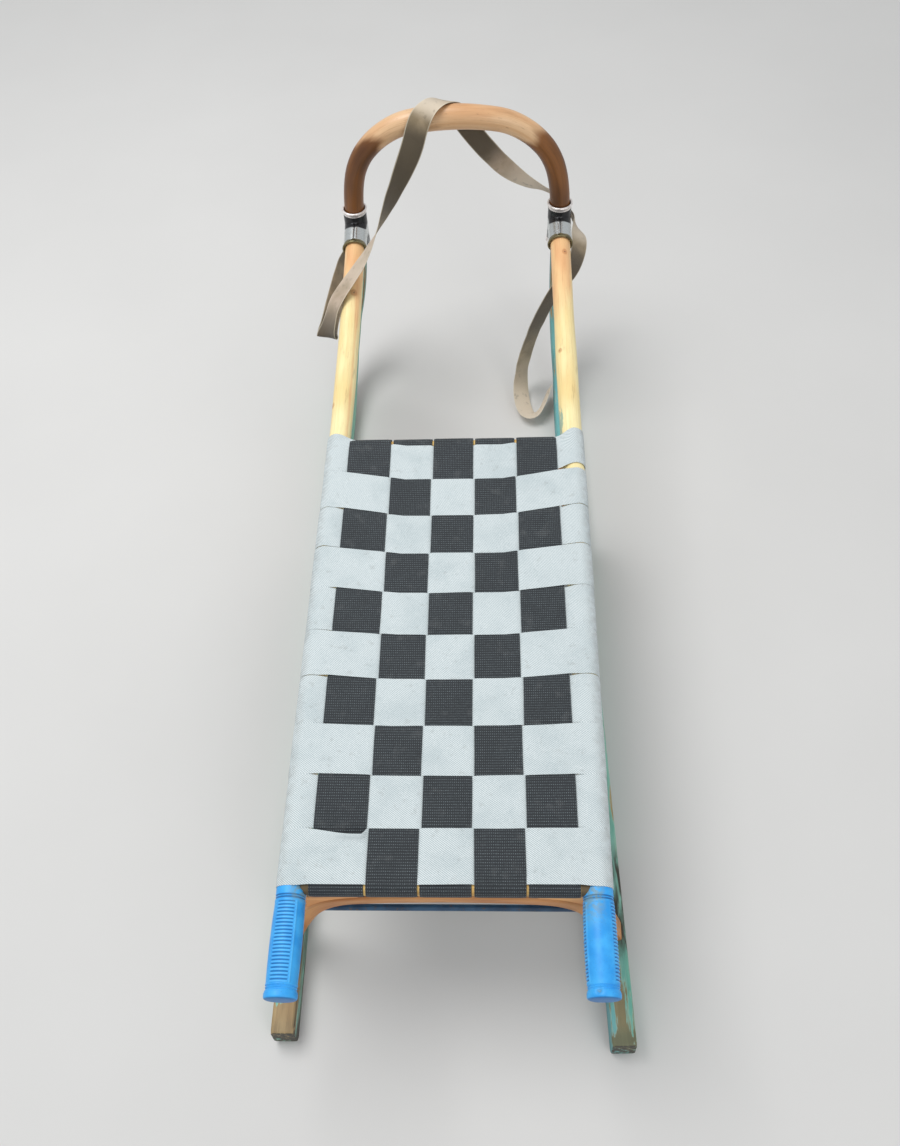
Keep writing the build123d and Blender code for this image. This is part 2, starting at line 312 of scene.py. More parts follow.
def pole(name, line, side, radii, wobble=0.0, knots=(), tone=None, seed=0.0, around=44):
    """A round stick. Each knot is (place along it in metres, angle in degrees, radius and height in mm)."""
    _, side, up = directions(line, side)
    run = run_along(line)[:, None]
    angle = np.linspace(0, 2 * math.pi, around, endpoint=False)[None, :]
    radius = np.array(radii, float)[:, None] * np.ones_like(angle)
    oval = np.cos(2 * angle + 2 * ripple(run / 0.4, seed + 1))
    radius = radius + wobble * ripple(run / 0.19, seed) + 0.6 * wobble * oval
    radius = radius + 0.35 * wobble * np.cos(3 * angle + seed + 5 * run)
    knot = np.zeros_like(radius)
    for place, turn, reach, height in knots:
        bend = turn_from(angle, math.radians(turn)) * radius / (reach * MM)
        near = np.exp(-(((run - place) / (1.25 * reach * MM)) ** 2) - bend**2)
        radius = radius + height * MM * near
        knot = np.maximum(knot, near)
    cos, sin = np.cos(angle), np.sin(angle)
    outward = cos[..., None] * side[:, None] + sin[..., None] * up[:, None]
    rings = line[:, None] + radius[..., None] * outward
    layers = {"grain": np.stack([radius * cos, radius * sin, run + 0 * angle], axis=-1), "knot": knot}
    if tone:
        layers["tone"] = tone(run + 0 * angle, angle + 0 * run)
    return skin(name, rings, layers)


def rounded_section(steps, rows):
    """Points round a rounded rectangle as (place on the inner rectangle, direction of its corner's arc)."""
    corners = ((1, 1), (-1, 1), (-1, -1), (1, -1))
    sides = ((0, 1), (-1, 0), (0, -1), (1, 0))
    points = []
    for k, (sx, sy) in enumerate(corners):
        for turn in np.linspace(k * math.pi / 2, (k + 1) * math.pi / 2, steps + 1):
            points.append((sx, sy, math.cos(turn), math.sin(turn)))
        nx, ny = corners[(k + 1) % 4]
        for share in np.arange(1, rows) / rows:
            points.append((sx + (nx - sx) * share, sy + (ny - sy) * share, *sides[k]))
    return np.array(points)


SECTION = rounded_section(steps=3, rows=4)


def bar(line, side, width, height, corner, shape=None, more_layers=None):
    """Rings and layers of a bar of rounded rectangular section. side is the direction of its width."""
    _, side, up = directions(line, side)
    run = run_along(line)[:, None]
    sx, sy, ax, ay = SECTION.T
    u = sx * (np.broadcast_to(width, len(line))[:, None] / 2 - corner) + corner * ax
    v = sy * (np.broadcast_to(height, len(line))[:, None] / 2 - corner) + corner * ay
    if shape:
        u, v = shape(run, u, v)
    rings = line[:, None] + u[..., None] * side[:, None] + v[..., None] * up[:, None]
    layers = {"grain": np.stack([u, v, run + 0 * u], axis=-1), "edge": np.abs(ax * ay) * 2 + 0 * u}
    if more_layers:
        layers.update(more_layers(run + 0 * u, u, v))
    return rings, layers


def slab(name, grid, thickness, layers):
    """A thin sheet of even thickness on a grid of points (along, across), with rounded edges."""
    normal = unit(np.cross(np.gradient(grid, axis=1), np.gradient(grid, axis=0)))
    rows, columns, _ = grid.shape
    profile = np.ones(columns)
    profile[[0, -1]] = 0.45
    half = (thickness / 2 * profile)[None, :, None] * normal
    rings = np.concatenate([grid + half, (grid - half)[:, ::-1]], axis=1)
    faces = tube_faces(rows, 2 * columns, capped=False)
    for row, step in ((0, 1), (rows - 1, -1)):
        for column in range(columns - 1):
            quad = [column, column + 1, 2 * columns - 2 - column, 2 * columns - 1 - column]
            faces.append([row * 2 * columns + k for k in quad[::step]])
    both = {key: np.concatenate([values, values[:, ::-1]], axis=1) for key, values in layers.items()}
    both["back"] = np.concatenate([np.zeros((rows, columns)), np.ones((rows, columns))], axis=1)
    return make_object(name, rings, faces, 70, both)


def lathe(profile, origin, axis, around):
    """Rings of a turned shape. profile holds (radius, distance along the axis)."""
    axis = Vector(axis).normalized()
    first = axis.orthogonal().normalized()
    second = axis.cross(first)
    angle = np.linspace(0, 2 * math.pi, around, endpoint=False)
    rings = []
    for radius, distance in profile:
        centre = Vector(origin) + axis * distance
        rings.append([centre + radius * (math.cos(a) * first + math.sin(a) * second) for a in angle])
    return np.array(rings, float)


def join_shapes(name, shapes, sharp=50):
    """One object from several (vertices, faces) shapes."""
    vertices, faces = [], []
    for points, quads in shapes:
        faces += [[k + len(vertices) for k in face] for face in quads]
        vertices += np.asarray(points).reshape(-1, 3).tolist()
    return make_object(name, vertices, faces, sharp)


# Materials


def rgb(red, green, blue):
    """A linear colour from the values seen on a screen."""
    linear = [v / 255 / 12.92 if v <= 10 else ((v / 255 + 0.055) / 1.055) ** 2.4 for v in (red, green, blue)]
    return (*linear, 1.0)


class Paint:
    """A material in the making. Each method adds a node and returns its result."""

    def __init__(self, name):
        self.material = bpy.data.materials.new(name)
        self.material.use_nodes = True
        self.tree = self.material.node_tree
        self.tree.nodes.clear()
        self.shader = self.tree.nodes.new("ShaderNodeBsdfPrincipled")
        output = self.tree.nodes.new("ShaderNodeOutputMaterial")
        self.tree.links.new(self.shader.outputs[0], output.inputs[0])

    def feed(self, socket, value):
        if isinstance(value, bpy.types.NodeSocket):
            self.tree.links.new(value, socket)
        else:
            socket.default_value = value

    def node(self, kind, inputs, **settings):
        node = self.tree.nodes.new("ShaderNode" + kind)
        for key, value in settings.items():
            setattr(node, key, value)
        for key, value in inputs.items():
            self.feed(node.inputs[key], value)
        return node

    def attribute(self, name):
        return self.node("Attribute", {}, attribute_name=name).outputs[2]

    def vector(self, name):
        return self.node("Attribute", {}, attribute_name=name).outputs[1]

    def place(self):
        return self.node("TexCoord", {}).outputs["Object"]

    def split(self, vector):
        return self.node("SeparateXYZ", {0: vector}).outputs

    def join(self, x, y, z):
        return self.node("CombineXYZ", {0: x, 1: y, 2: z}).outputs[0]

    def noise(self, place, scale, detail=3.0, distortion=0.0):
        """Noise between 0 and 1. The scale is one number or one for each direction."""
        scale = scale if isinstance(scale, tuple) else (scale,) * 3
        scaled = self.node("VectorMath", {0: place, 1: scale}, operation="MULTIPLY").outputs[0]
        inputs = {"Vector": scaled, "Scale": 1.0, "Detail": detail, "Distortion": distortion}
        return self.node("TexNoise", inputs).outputs[0]

    def maths(self, operation, first, second=0.0):
        return self.node("Math", {0: first, 1: second}, operation=operation).outputs[0]

    def plus(self, first, second):
        return self.maths("ADD", first, second)

    def minus(self, first, second):
        return self.maths("SUBTRACT", first, second)

    def times(self, first, second):
        return self.maths("MULTIPLY", first, second)

    def wave(self, place, period):
        return self.maths("SINE", self.times(place, 2 * math.pi / period))

    def step(self, value, low, high):
        """0 below low, 1 above high, smooth between them. It runs the other way where low is above high."""
        inputs = {"Value": value, "From Min": low, "From Max": high}
        return self.node("MapRange", inputs, interpolation_type="SMOOTHSTEP").outputs[0]

    def patches(self, place, scale, detail, low, high):
        """Spots where the noise is high."""
        return self.step(self.noise(place, scale, detail), low, high)

    def mix(self, share, first, second):
        node = self.node("Mix", {}, data_type="RGBA", blend_type="MIX")
        for index, value in ((0, share), (6, first), (7, second)):
            self.feed(node.inputs[index], value)
        return node.outputs[2]

    def tint(self, colour, where, strength, other):
        """The colour, with another one over it at that strength."""
        return self.mix(self.times(where, strength), colour, other)

    def bump(self, height, distance, strength):
        inputs = {"Height": height, "Distance": distance, "Strength": strength}
        self.feed(self.shader.inputs["Normal"], self.node("Bump", inputs).outputs[0])

    def finish(self, colour, roughness, **sockets):
        self.feed(self.shader.inputs["Base Color"], colour)
        self.feed(self.shader.inputs["Roughness"], roughness)
        for key, value in sockets.items():
            self.feed(self.shader.inputs[key.replace("_", " ")], value)
        return self.material


def wood_grain(paint, place, pale, deep, dark):
    """Colour and height of wood whose fibres run along the third coordinate of place."""
    fibres = paint.noise(place, (1100, 1100, 16), 4.0)
    bands = paint.noise(place, (230, 230, 5), 3.0, 0.4)
    colour = paint.mix(paint.patches(place, (35, 35, 9), 2.0, 0.36, 0.68), pale, deep)
    colour = paint.tint(colour, paint.step(bands, 0.5, 0.7), 0.42, deep)
    colour = paint.tint(colour, paint.step(fibres, 0.5, 0.72), 0.32, dark)
    pores = paint.patches(place, (2400, 2400, 55), 2.0, 0.63, 0.74)
    colour = paint.tint(colour, pores, 0.35, dark)
    return colour, paint.minus(paint.times(fibres, 0.7), paint.times(pores, 0.6))


def add_knots(paint, colour, place, tone, heart):
    """Darker ring and heart where the knot attribute peaks."""
    uneven = paint.plus(paint.attribute("knot"), paint.times(paint.noise(place, (500, 500, 200), 2.0), 0.25))
    colour = paint.tint(colour, paint.step(uneven, 0.3, 0.75), 0.6, tone)
    return paint.tint(colour, paint.step(uneven, 0.98, 1.12), 0.9, heart)


def rail_material():
    paint = Paint("pale_pole_wood")
    place = paint.vector("grain")
    colour, height = wood_grain(paint, place, rgb(249, 234, 178), rgb(240, 214, 150), rgb(190, 148, 94))
    warm, _ = wood_grain(paint, place, rgb(244, 206, 150), rgb(230, 176, 124), rgb(168, 110, 70))
    tone = paint.plus(paint.attribute("tone"), paint.times(paint.noise(place, (60, 60, 14)), 0.5))
    colour = paint.mix(paint.step(tone, 0.45, 1.05), colour, warm)
    colour = add_knots(paint, colour, place, rgb(186, 120, 72), rgb(58, 44, 36))
    colour = paint.tint(colour, paint.patches(place, (95, 95, 22), 5.0, 0.6, 0.75), 0.35, rgb(150, 120, 84))
    teal = paint.plus(paint.attribute("teal"), paint.noise(place, (260, 260, 60), 4.0))
    colour = paint.tint(colour, paint.step(teal, 1.18, 1.26), 0.75, rgb(124, 170, 160))
    paint.bump(height, 0.25 * MM, 0.5)
    return paint.finish(colour, 0.42, Specular_IOR_Level=0.45)


def bow_material():
    paint = Paint("bent_bow_wood")
    place = paint.vector("grain")
    colour, height = wood_grain(paint, place, rgb(222, 184, 142), rgb(206, 156, 110), rgb(150, 98, 58))
    worn, _ = wood_grain(paint, place, rgb(132, 82, 34), rgb(86, 50, 20), rgb(40, 24, 12))
    tone = paint.plus(paint.attribute("tone"), paint.times(paint.noise(place, (55, 55, 18), 4.0), 1.1))
    colour = paint.mix(paint.step(tone, 0.65, 1.2), colour, worn)
    colour = add_knots(paint, colour, place, rgb(150, 88, 46), rgb(70, 40, 24))
    specks = paint.patches(place, (420, 420, 120), 3.0, 0.66, 0.74)
    colour = paint.tint(colour, specks, 0.5, rgb(110, 66, 36))
    paint.bump(height, 0.25 * MM, 0.5)
    return paint.finish(colour, 0.36, Specular_IOR_Level=0.5)


def frame_wood(name, pale, deep, dark, across=False, ends=None):
    """Wood of the arches, blocks and bars. Fibres run across where it says so, with painted shade beyond the
    ends.
    """
    paint = Paint(name)
    if across:
        x, y, z = paint.split(paint.place())
        place = paint.join(y, z, x)
    else:
        place = paint.vector("grain")
    colour, height = wood_grain(paint, place, pale, deep, dark)
    colour = paint.tint(colour, paint.patches(place, (70, 70, 20), 5.0, 0.55, 0.75), 0.5, dark)
    if ends:
        # Painted shade on the bar's ends between the wraps and the rails
        far = paint.maths("ABSOLUTE", paint.split(paint.place())[0])
        colour = paint.tint(colour, paint.step(far, ends - 3 * MM, ends), 0.9, rgb(48, 40, 32))
    paint.bump(height, 0.3 * MM, 0.6)
    return paint.finish(colour, 0.5)


def runner_material():
    """Teal paint over wood. The wear attribute says where the paint has gone, fresh where it is bluer, and
    the darkening layer where grime and painted shade darken it.
    """
    paint = Paint("worn_teal_paint")
    place = paint.vector("grain")
    bare, height = wood_grain(paint, place, rgb(178, 154, 112), rgb(144, 118, 80), rgb(90, 72, 50))
    flakes = paint.noise(place, (210, 210, 34), 6.0, 0.6)
    slow = paint.noise(place, (45, 45, 8))
    wear = paint.plus(paint.attribute("wear"), paint.times(paint.attribute("edge"), 0.28))
    wear = paint.plus(wear, paint.times(paint.minus(flakes, 0.5), 1.5))
    mint = paint.mix(paint.step(slow, 0.35, 0.65), rgb(150, 205, 184), rgb(104, 172, 152))
    blue = paint.mix(paint.step(slow, 0.4, 0.6), rgb(64, 140, 160), rgb(96, 164, 172))
    coat = paint.mix(paint.attribute("fresh"), mint, blue)
    coat = paint.tint(coat, paint.patches(place, (700, 700, 9), 4.0, 0.52, 0.7), 0.4, rgb(150, 186, 172))
    worn = paint.step(wear, 0.42, 0.56)
    coat = paint.tint(coat, paint.step(wear, 0.3, 0.42), 0.35, rgb(176, 190, 170))
    colour = paint.mix(worn, coat, bare)
    colour = paint.tint(colour, paint.patches(place, (130, 130, 45), 5.0, 0.55, 0.75), 0.3, rgb(86, 92, 70))
    colour = paint.tint(colour, paint.attribute("mould"), worn, rgb(112, 116, 88))
    # Grime and painted shade from the layer, broken up by the flakes
    grime_and_shade = paint.times(paint.attribute("dirt_and_shade"), paint.step(flakes, 0.25, 0.6))
    colour = paint.tint(colour, grime_and_shade, 0.85, rgb(60, 58, 48))
    paint.bump(paint.minus(paint.times(height, 0.5), paint.times(worn, 0.9)), 0.35 * MM, 0.7)
    return paint.finish(colour, 0.58)


def webbing(name, base, shade_tone, bright, twill):
    """Webbing: weave holds (across, along) in metres. twill is None for rows of pale dots."""
    paint = Paint(name)
    weave = paint.vector("weave")
    across, along, _ = paint.split(weave)
    place = paint.place()
    wander = paint.times(paint.minus(paint.noise(place, 60, 2.0), 0.5), 1.2 * MM)
    if twill:
        rib = paint.wave(paint.plus(paint.plus(across, paint.times(along, twill)), wander), 2.1 * MM)
        thread = paint.wave(along, 0.9 * MM)
        height = paint.plus(paint.times(rib, 0.35), paint.times(thread, 0.15))
        mark, mark_share, base_share, fuzz_share = paint.step(rib, -0.2, 0.9), 0.8, 0.22, 0.4
    else:
        rows = paint.wave(paint.plus(along, paint.times(wander, 0.4)), 2.9 * MM)
        columns = paint.wave(across, 2.1 * MM)
        dots = paint.times(paint.step(rows, 0.1, 0.9), paint.step(columns, -0.3, 0.7))
        height = paint.plus(paint.times(rows, 0.3), paint.times(dots, 0.4))
        speck = paint.patches(weave, (900, 900, 1), 2.0, 0.4, 0.6)
        mark = paint.times(dots, paint.plus(paint.times(speck, 0.6), 0.4))
        mark_share, base_share, fuzz_share = 0.7, 0.2, 0.1
    fuzz = paint.noise(place, 1500, 2.0)
    colour = paint.tint(shade_tone, mark, mark_share, bright)
    colour = paint.mix(base_share, colour, base)
    colour = paint.tint(colour, paint.patches(place, 26, 4.0, 0.42, 0.7), 0.3, shade_tone)
    colour = paint.tint(colour, paint.step(fuzz, 0.45, 0.75), fuzz_share, bright)
    return paint, place, colour, height


def light_webbing():
    tones = rgb(207, 216, 217), rgb(153, 169, 173), rgb(245, 249, 249)
    paint, place, colour, height = webbing("pale_webbing", *tones, 0.75)
    colour = paint.tint(colour, paint.patches(place, 140, 5.0, 0.6, 0.72), 0.22, rgb(140, 142, 138))
    soiled = paint.times(paint.attribute("soil"), paint.patches(place, 120, 4.0, 0.35, 0.65))
    colour = paint.tint(colour, soiled, 0.6, rgb(116, 108, 96))
    paint.bump(height, 0.22 * MM, 0.8)
    return paint.finish(colour, 0.82, Sheen_Weight=0.15, Sheen_Roughness=0.5)


def black_webbing():
    tones = rgb(34, 40, 46), rgb(20, 25, 30), rgb(140, 153, 158)
    paint, place, colour, height = webbing("black_webbing", *tones, None)
    colour = paint.tint(colour, paint.patches(place, 60, 5.0, 0.56, 0.72), 0.12, rgb(120, 122, 122))
    paint.bump(height, 0.3 * MM, 0.9)
    return paint.finish(colour, 0.75, Sheen_Weight=0.1, Sheen_Roughness=0.5)


def khaki_webbing():
    """Cotton strap: its first face is pinkish grey and its other one darker and dirtier. The tone layer
    paints light and shade along it.
    """
    paint = Paint("khaki_webbing")
    across, along, _ = paint.split(paint.vector("weave"))
    place = paint.place()
    warp = paint.wave(across, 1.5 * MM)
    weft = paint.wave(along, 1.1 * MM)
    height = paint.plus(paint.times(warp, 0.3), paint.times(paint.times(warp, weft), 0.4))
    uneven = paint.patches(place, 38, 4.0, 0.35, 0.7)
    front = paint.mix(uneven, rgb(188, 168, 148), rgb(160, 142, 118))
    rear = paint.mix(uneven, rgb(158, 140, 112), rgb(124, 108, 82))
    colour = paint.mix(paint.attribute("back"), front, rear)
    # Painted light where the tone is high, painted shade where it is low
    tone = paint.attribute("tone")
    colour = paint.tint(colour, paint.step(tone, 0.5, 1.0), 0.85, rgb(224, 210, 190))
    colour = paint.tint(colour, paint.step(tone, 0.55, 0.08), 0.92, rgb(60, 50, 33))
    colour = paint.tint(colour, paint.step(height, 0.1, 0.7), 0.24, rgb(196, 180, 152))
    colour = paint.tint(colour, paint.patches(place, 120, 5.0, 0.58, 0.72), 0.35, rgb(84, 76, 58))
    # Lighter edges: the selvedge's own weave, and a painted highlight where the edges catch the light
    off_middle = paint.maths("ABSOLUTE", across)
    selvedge_and_highlight = paint.step(off_middle, 0.5 * STRAP_W - 1.6 * MM, 0.5 * STRAP_W - 0.8 * MM)
    colour = paint.tint(colour, selvedge_and_highlight, 0.5, rgb(212, 202, 180))
    paint.bump(height, 0.2 * MM, 0.8)
    return paint.finish(colour, 0.88, Sheen_Weight=0.2, Sheen_Roughness=0.6)


def grip_material():
    paint = Paint("blue_grip")
    place = paint.place()
    uneven = paint.patches(place, (70, 70, 40), 4.0, 0.35, 0.7)
    colour = paint.mix(uneven, rgb(62, 172, 242), rgb(42, 152, 230))
    # Painted highlight on the rib crests and raised borders, painted shade in the grooves, the collar's rings
    # and the flared end
    relief_shading = paint.attribute("relief_shading")
    colour = paint.tint(colour, paint.step(relief_shading, 0.5, 1.0), 0.4, rgb(110, 200, 252))
    colour = paint.tint(colour, paint.step(relief_shading, 0.5, 0.0), 0.7, rgb(12, 76, 140))
    fade = paint.times(paint.attribute("fade"), paint.patches(place, (260, 260, 160), 5.0, 0.3, 0.6))
    colour = paint.tint(colour, fade, 0.75, rgb(122, 148, 150))
    colour = paint.tint(colour, paint.patches(place, 900, 3.0, 0.62, 0.72), 0.3, rgb(60, 84, 104))
    paint.bump(paint.noise(place, 1400), 0.12 * MM, 0.5)
    return paint.finish(colour, 0.46, Specular_IOR_Level=0.4)


def sleeve_material():
    paint = Paint("dull_plated_steel")
    place = paint.place()
    haze = paint.noise(place, 120, 5.0)
    specks = paint.patches(place, 700, 4.0, 0.6, 0.7)
    # The dark layer is painted reflection and shade on the steel, made uneven by the haze
    dark = paint.plus(paint.attribute("dark"), paint.times(paint.minus(haze, 0.5), 0.6))
    colour = paint.mix(paint.step(dark, 0.2, 0.8), rgb(206, 210, 210), rgb(56, 56, 58))
    colour = paint.tint(colour, specks, 0.4, rgb(70, 62, 52))
    rough = paint.plus(paint.times(haze, 0.3), 0.12)
    paint.bump(paint.noise(place, 300), 0.12 * MM, 0.5)
    return paint.finish(colour, rough, Metallic=0.9)


def rim_material(name, bright, stain):
    paint = Paint(name)
    haze = paint.noise(paint.place(), 200, 4.0)
    paint.bump(haze, 0.1 * MM, 0.4)
    return paint.finish(paint.mix(paint.step(haze, 0.4, 0.7), bright, stain), 0.32, Metallic=0.55)


def plain_metal(name, base, worn, rough):
    """Shoes and tacks: scratches, and rust where the noise is high."""
    paint = Paint(name)
    place = paint.place()
    scratch = paint.noise(place, (900, 30, 900), 4.0)
    colour = paint.mix(paint.step(scratch, 0.45, 0.65), base, worn)
    colour = paint.tint(colour, paint.patches(place, 160, 6.0, 0.54, 0.68), 0.7, rgb(120, 72, 44))
    paint.bump(scratch, 0.1 * MM, 0.5)
    return paint.finish(colour, rough, Metallic=0.7)


def rod_material():
    paint = Paint("blue_enamel")
    place = paint.place()
    chips = paint.patches(place, 300, 5.0, 0.62, 0.68)
    colour = paint.mix(paint.patches(place, 60, 3.0, 0.35, 0.65), rgb(34, 66, 96), rgb(50, 88, 120))
    colour = paint.tint(colour, chips, 0.7, rgb(90, 70, 56))
    paint.bump(chips, 0.1 * MM, -0.5)
    return paint.finish(colour, 0.35)


def floor_material():
    paint = Paint("pale_floor")
    slow = paint.noise(paint.place(), 3, 4.0)
    return paint.finish(paint.mix(slow, rgb(206, 205, 203), rgb(214, 213, 211)), 0.9)


# The crossbars are painted dark beyond this distance from the middle, past the outermost wraps: painted shade
# between the wraps and the rails

BAR_DARK_X = 129 * MM

MATERIALS = {
    "rail": rail_material(),
    "bow": bow_material(),
    "arch": frame_wood("arch_wood", rgb(206, 146, 88), rgb(180, 114, 60), rgb(108, 62, 32)),
    "block": frame_wood("block_wood", rgb(240, 178, 112), rgb(220, 148, 84), rgb(140, 84, 46), True),
    "crossbar": frame_wood(
        "crossbar_wood", rgb(236, 200, 120), rgb(214, 168, 92), rgb(140, 96, 52), True, BAR_DARK_X
    ),
    "runner": runner_material(),
    "light": light_webbing(),
    "black": black_webbing(),
    "khaki": khaki_webbing(),
    "grip": grip_material(),
    "sleeve": sleeve_material(),
    # One plated steel for all rims: a whitish copy as painted highlight on the top and lower rims, a dark
    # olive copy as painted shade on the rear rim
    "rim_lit": rim_material("lit_rim", rgb(250, 244, 242), rgb(214, 206, 202)),
    "rim_shaded": rim_material("shaded_rim", rgb(128, 118, 84), rgb(88, 80, 56)),
    "shoe": plain_metal("shoe_steel", rgb(150, 148, 144), rgb(112, 108, 104), 0.42),
    "tack": plain_metal("tack_steel", rgb(140, 138, 132), rgb(100, 96, 90), 0.5),
    "rod": rod_material(),
}


def dress(obj, material, slot, *nodes):
    """Gives a new piece its material and body, and hides the frame pieces that it stands for. Its slot
    argument is not used.
    """
    obj.data.materials.clear()
    obj.data.materials.append(MATERIALS[material])
    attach(obj, "root")
    if nodes:
        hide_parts(*nodes)


def dress_node(node, material, bevel=0.0):
    """Gives a piece of the frame its material, and rounds its edges where it says so."""
    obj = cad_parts[node]
    obj.data.materials.clear()
    obj.data.materials.append(MATERIALS[material])
    if bevel:
        rounding = obj.modifiers.new("rounded_edges", "BEVEL")
        rounding.width = bevel
        rounding.segments = 3
        rounding.limit_method = "ANGLE"


# Pull strap: loose webbing from the left sleeve, over the bow and round to the right runner

# Points of its route in mm

STRAP_ROUTE = [
    (-170, 512, 214), (-174, 482, 216), (-177, 447, 212), (-183, 404, 206), (-187, 366, 202),
    (-186, 344, 206), (-184.5, 343, 219), (-178.5, 353, 233), (-171, 368, 250), (-154, 390, 264),
    (-131, 411, 284), (-111, 432, 310), (-89, 458, 344), (-70, 482, 372), (-55, 497, 399),
    (-48, 507.5, 420), (-41, 514.5, 433.5), (-31, 526, 440.2), (-19, 538.5, 440), (-9, 549.5, 432.5),
    (0, 555.5, 420), (9, 556.5, 405), (23, 555, 384), (45, 554.5, 355), (72, 554, 325),
    (101, 553, 303), (130, 551, 292), (151, 549, 281), (162, 545, 267), (172, 531, 254),
    (179.5, 505, 246), (177, 480, 236), (167, 455, 226), (152, 439, 218), (135, 428, 196),
    (120, 425, 160), (109, 430, 115), (100, 436, 70), (95, 434, 37), (95, 420, 17),
    (97, 396, 10), (103, 371, 10), (116, 365, 12), (127, 377, 16), (134, 392, 22),
    (141, 410, 28),
]

# The direction of the strap's width at some points of its route

STRAP_WIDTHS = (
    (0, (0, 0, -1)), (1, (0.35, 0, -0.93)), (2, (0.55, 0, -0.83)), (4, (0.68, 0, -0.73)),
    (5, (0.93, -0.15, 0.1)), (6, (0.78, -0.6, 0.22)), (7, (0.62, -0.72, 0.3)), (9, (0.58, -0.76, 0.3)),
    (10, (0.46, -0.83, 0.32)), (11, (0.11, -0.82, 0.57)), (12, (-0.39, -0.57, 0.72)),
    (13, (-0.7, -0.25, 0.64)), (14, (-0.85, 0.1, 0.42)), (15, (-0.85, 0.3, 0.4)), (17, (-0.78, 0.62, 0)),
    (19, (-0.85, 0.5, -0.1)), (21, (-0.95, 0, -0.3)), (23, (-0.7, 0, -0.7)), (24, (-0.65, 0.1, -0.75)),
    (25, (-0.38, 0.46, -0.8)), (26, (-0.15, 0.75, -0.64)), (28, (0, 0.77, -0.64)),
    (29, (-0.1, 0.68, -0.73)), (30, (0.8, 0.27, -0.53)), (31, (0.7, 0.15, -0.7)),
    (32, (0.55, 0.14, -0.82)), (33, (0.5, 0.26, -0.82)), (34, (0.66, 0.52, -0.52)),
    (36, (0.76, 0.63, -0.1)), (38, (0.7, 0.65, -0.27)), (39, (0.8, 0.4, -0.45)), (40, (0.85, 0.3, -0.43)),
    (41, (0.5, 0.8, -0.33)), (42, (0, 0.9, -0.43)), (43, (-0.2, 0.6, -0.77)), (45, (-0.2, 0.38, -0.9)),
)

# Painted light and shade at some points of the strap's route: 0 is painted shade and 1 painted light

STRAP_LIGHT_AND_SHADE = (
    (0, 0.55), (3, 0.45), (5, 0.08), (6, 0.08), (7, 0.2), (8, 0.5), (10, 0.75), (11, 0.6), (12, 0), (14, 0),
    (15, 0.2), (16, 0.75), (17, 0.95), (19, 0.6), (21, 0), (23, 0.1), (24, 0.6), (25, 0.95), (26, 0.8),
    (28, 0.3), (29, 0.6), (30, 0.95), (31, 0.2), (32, 0.1), (33, 0), (34, 0), (35, 0.05), (36, 0.35),
    (38, 0.8), (40, 0.95), (42, 1), (45, 0.9),
)


def strap_line(step):
    """Even points read from the smooth curve that the route's points control."""
    data = bpy.data.curves.new("strap_route", "CURVE")
    data.dimensions = "3D"
    data.resolution_u = 12
    spline = data.splines.new("NURBS")
    spline.points.add(len(STRAP_ROUTE) - 1)
    for point, place in zip(spline.points, STRAP_ROUTE):
        point.co = (*(v * MM for v in place), 1.0)
    spline.order_u = 3
    spline.use_endpoint_u = True
    curve = add_object("strap_route", data)
    mesh = bpy.data.meshes.new_from_object(curve)
    line = np.array([v.co for v in mesh.vertices], float)
    bpy.data.objects.remove(curve)
    bpy.data.meshes.remove(mesh)
    return evenly(line, step)


def on_route(line, table):
    """Values along the line from a table of (index of a route point, value)."""
    run = run_along(line)
    places = []
    for index, _ in table:
        near = np.linalg.norm(line - np.array(STRAP_ROUTE[index], float) * MM, axis=1)
        places.append(run[np.argmin(near)])
    values = np.array([value for _, value in table], float).reshape(len(table), -1)
    return np.column_stack([np.interp(run, places, values[:, k]) for k in range(values.shape[1])])


def make_pull_strap():
    line = strap_line(3 * MM)
    along = unit(np.gradient(line, axis=0))
    side = smoothed(unit(on_route(line, STRAP_WIDTHS)), 4)
    side = unit(side - along * np.sum(side * along, axis=1, keepdims=True))
    normal = np.cross(side, along)
    run = run_along(line)[:, None]
    share = np.linspace(-1, 1, 11)[None, :]
    across = STRAP_W / 2 * share
    curl = 0.9 * MM * ripple(run / 0.16, 1.0) * (share**2 - 0.4)
    flutter = 0.5 * MM * ripple(run / 0.05, 2.0) * share
    grid = line[:, None] + across[..., None] * side[:, None] + (curl + flutter)[..., None] * normal[:, None]
    # Painted light and shade along the strap
    tone = smoothed(on_route(line, STRAP_LIGHT_AND_SHADE), 8) + 0 * share
    weave = np.stack([across + 0 * run, run + 0 * share, 0 * tone], axis=-1)
    obj = slab("pull_strap_webbing", grid, STRAP_T, {"weave": weave, "tone": tone})
    dress(obj, "khaki", "webbing_khaki", "pull_strap")


make_pull_strap()


# Seat rails: debarked poles, straight under the seat, rising on one long arc to the sleeves

RAIL_RUN = JOINT_Y - RAIL_BEND_Y
RAIL_SLOPE = 2 * math.atan(RAIL_RISE / RAIL_RUN)
RAIL_ARC = RAIL_RUN / math.sin(RAIL_SLOPE)

# Knots of the rails: (metres along the rail, angle from the top to the middle, radius and height in mm)

RAIL_KNOTS = {
    "left": ((0.815, 20, 5, 0.5), (0.62, -60, 4, 0.4), (0.30, 150, 5, 0.5)),
    "right": ((0.705, 38, 3.2, 0.5), (0.88, -20, 4, 0.4), (0.42, 200, 5, 0.4)),
}


def rail_height(y):
    """Height of the rail's middle at a place along the sled."""
    ahead = np.maximum(np.asarray(y) - RAIL_BEND_Y, 0)
    return RAIL_Z + RAIL_ARC - np.sqrt(RAIL_ARC**2 - ahead**2)


def rail_x(sign, y):
    return sign * RAIL_X - rack(sign * RAIL_X, y)


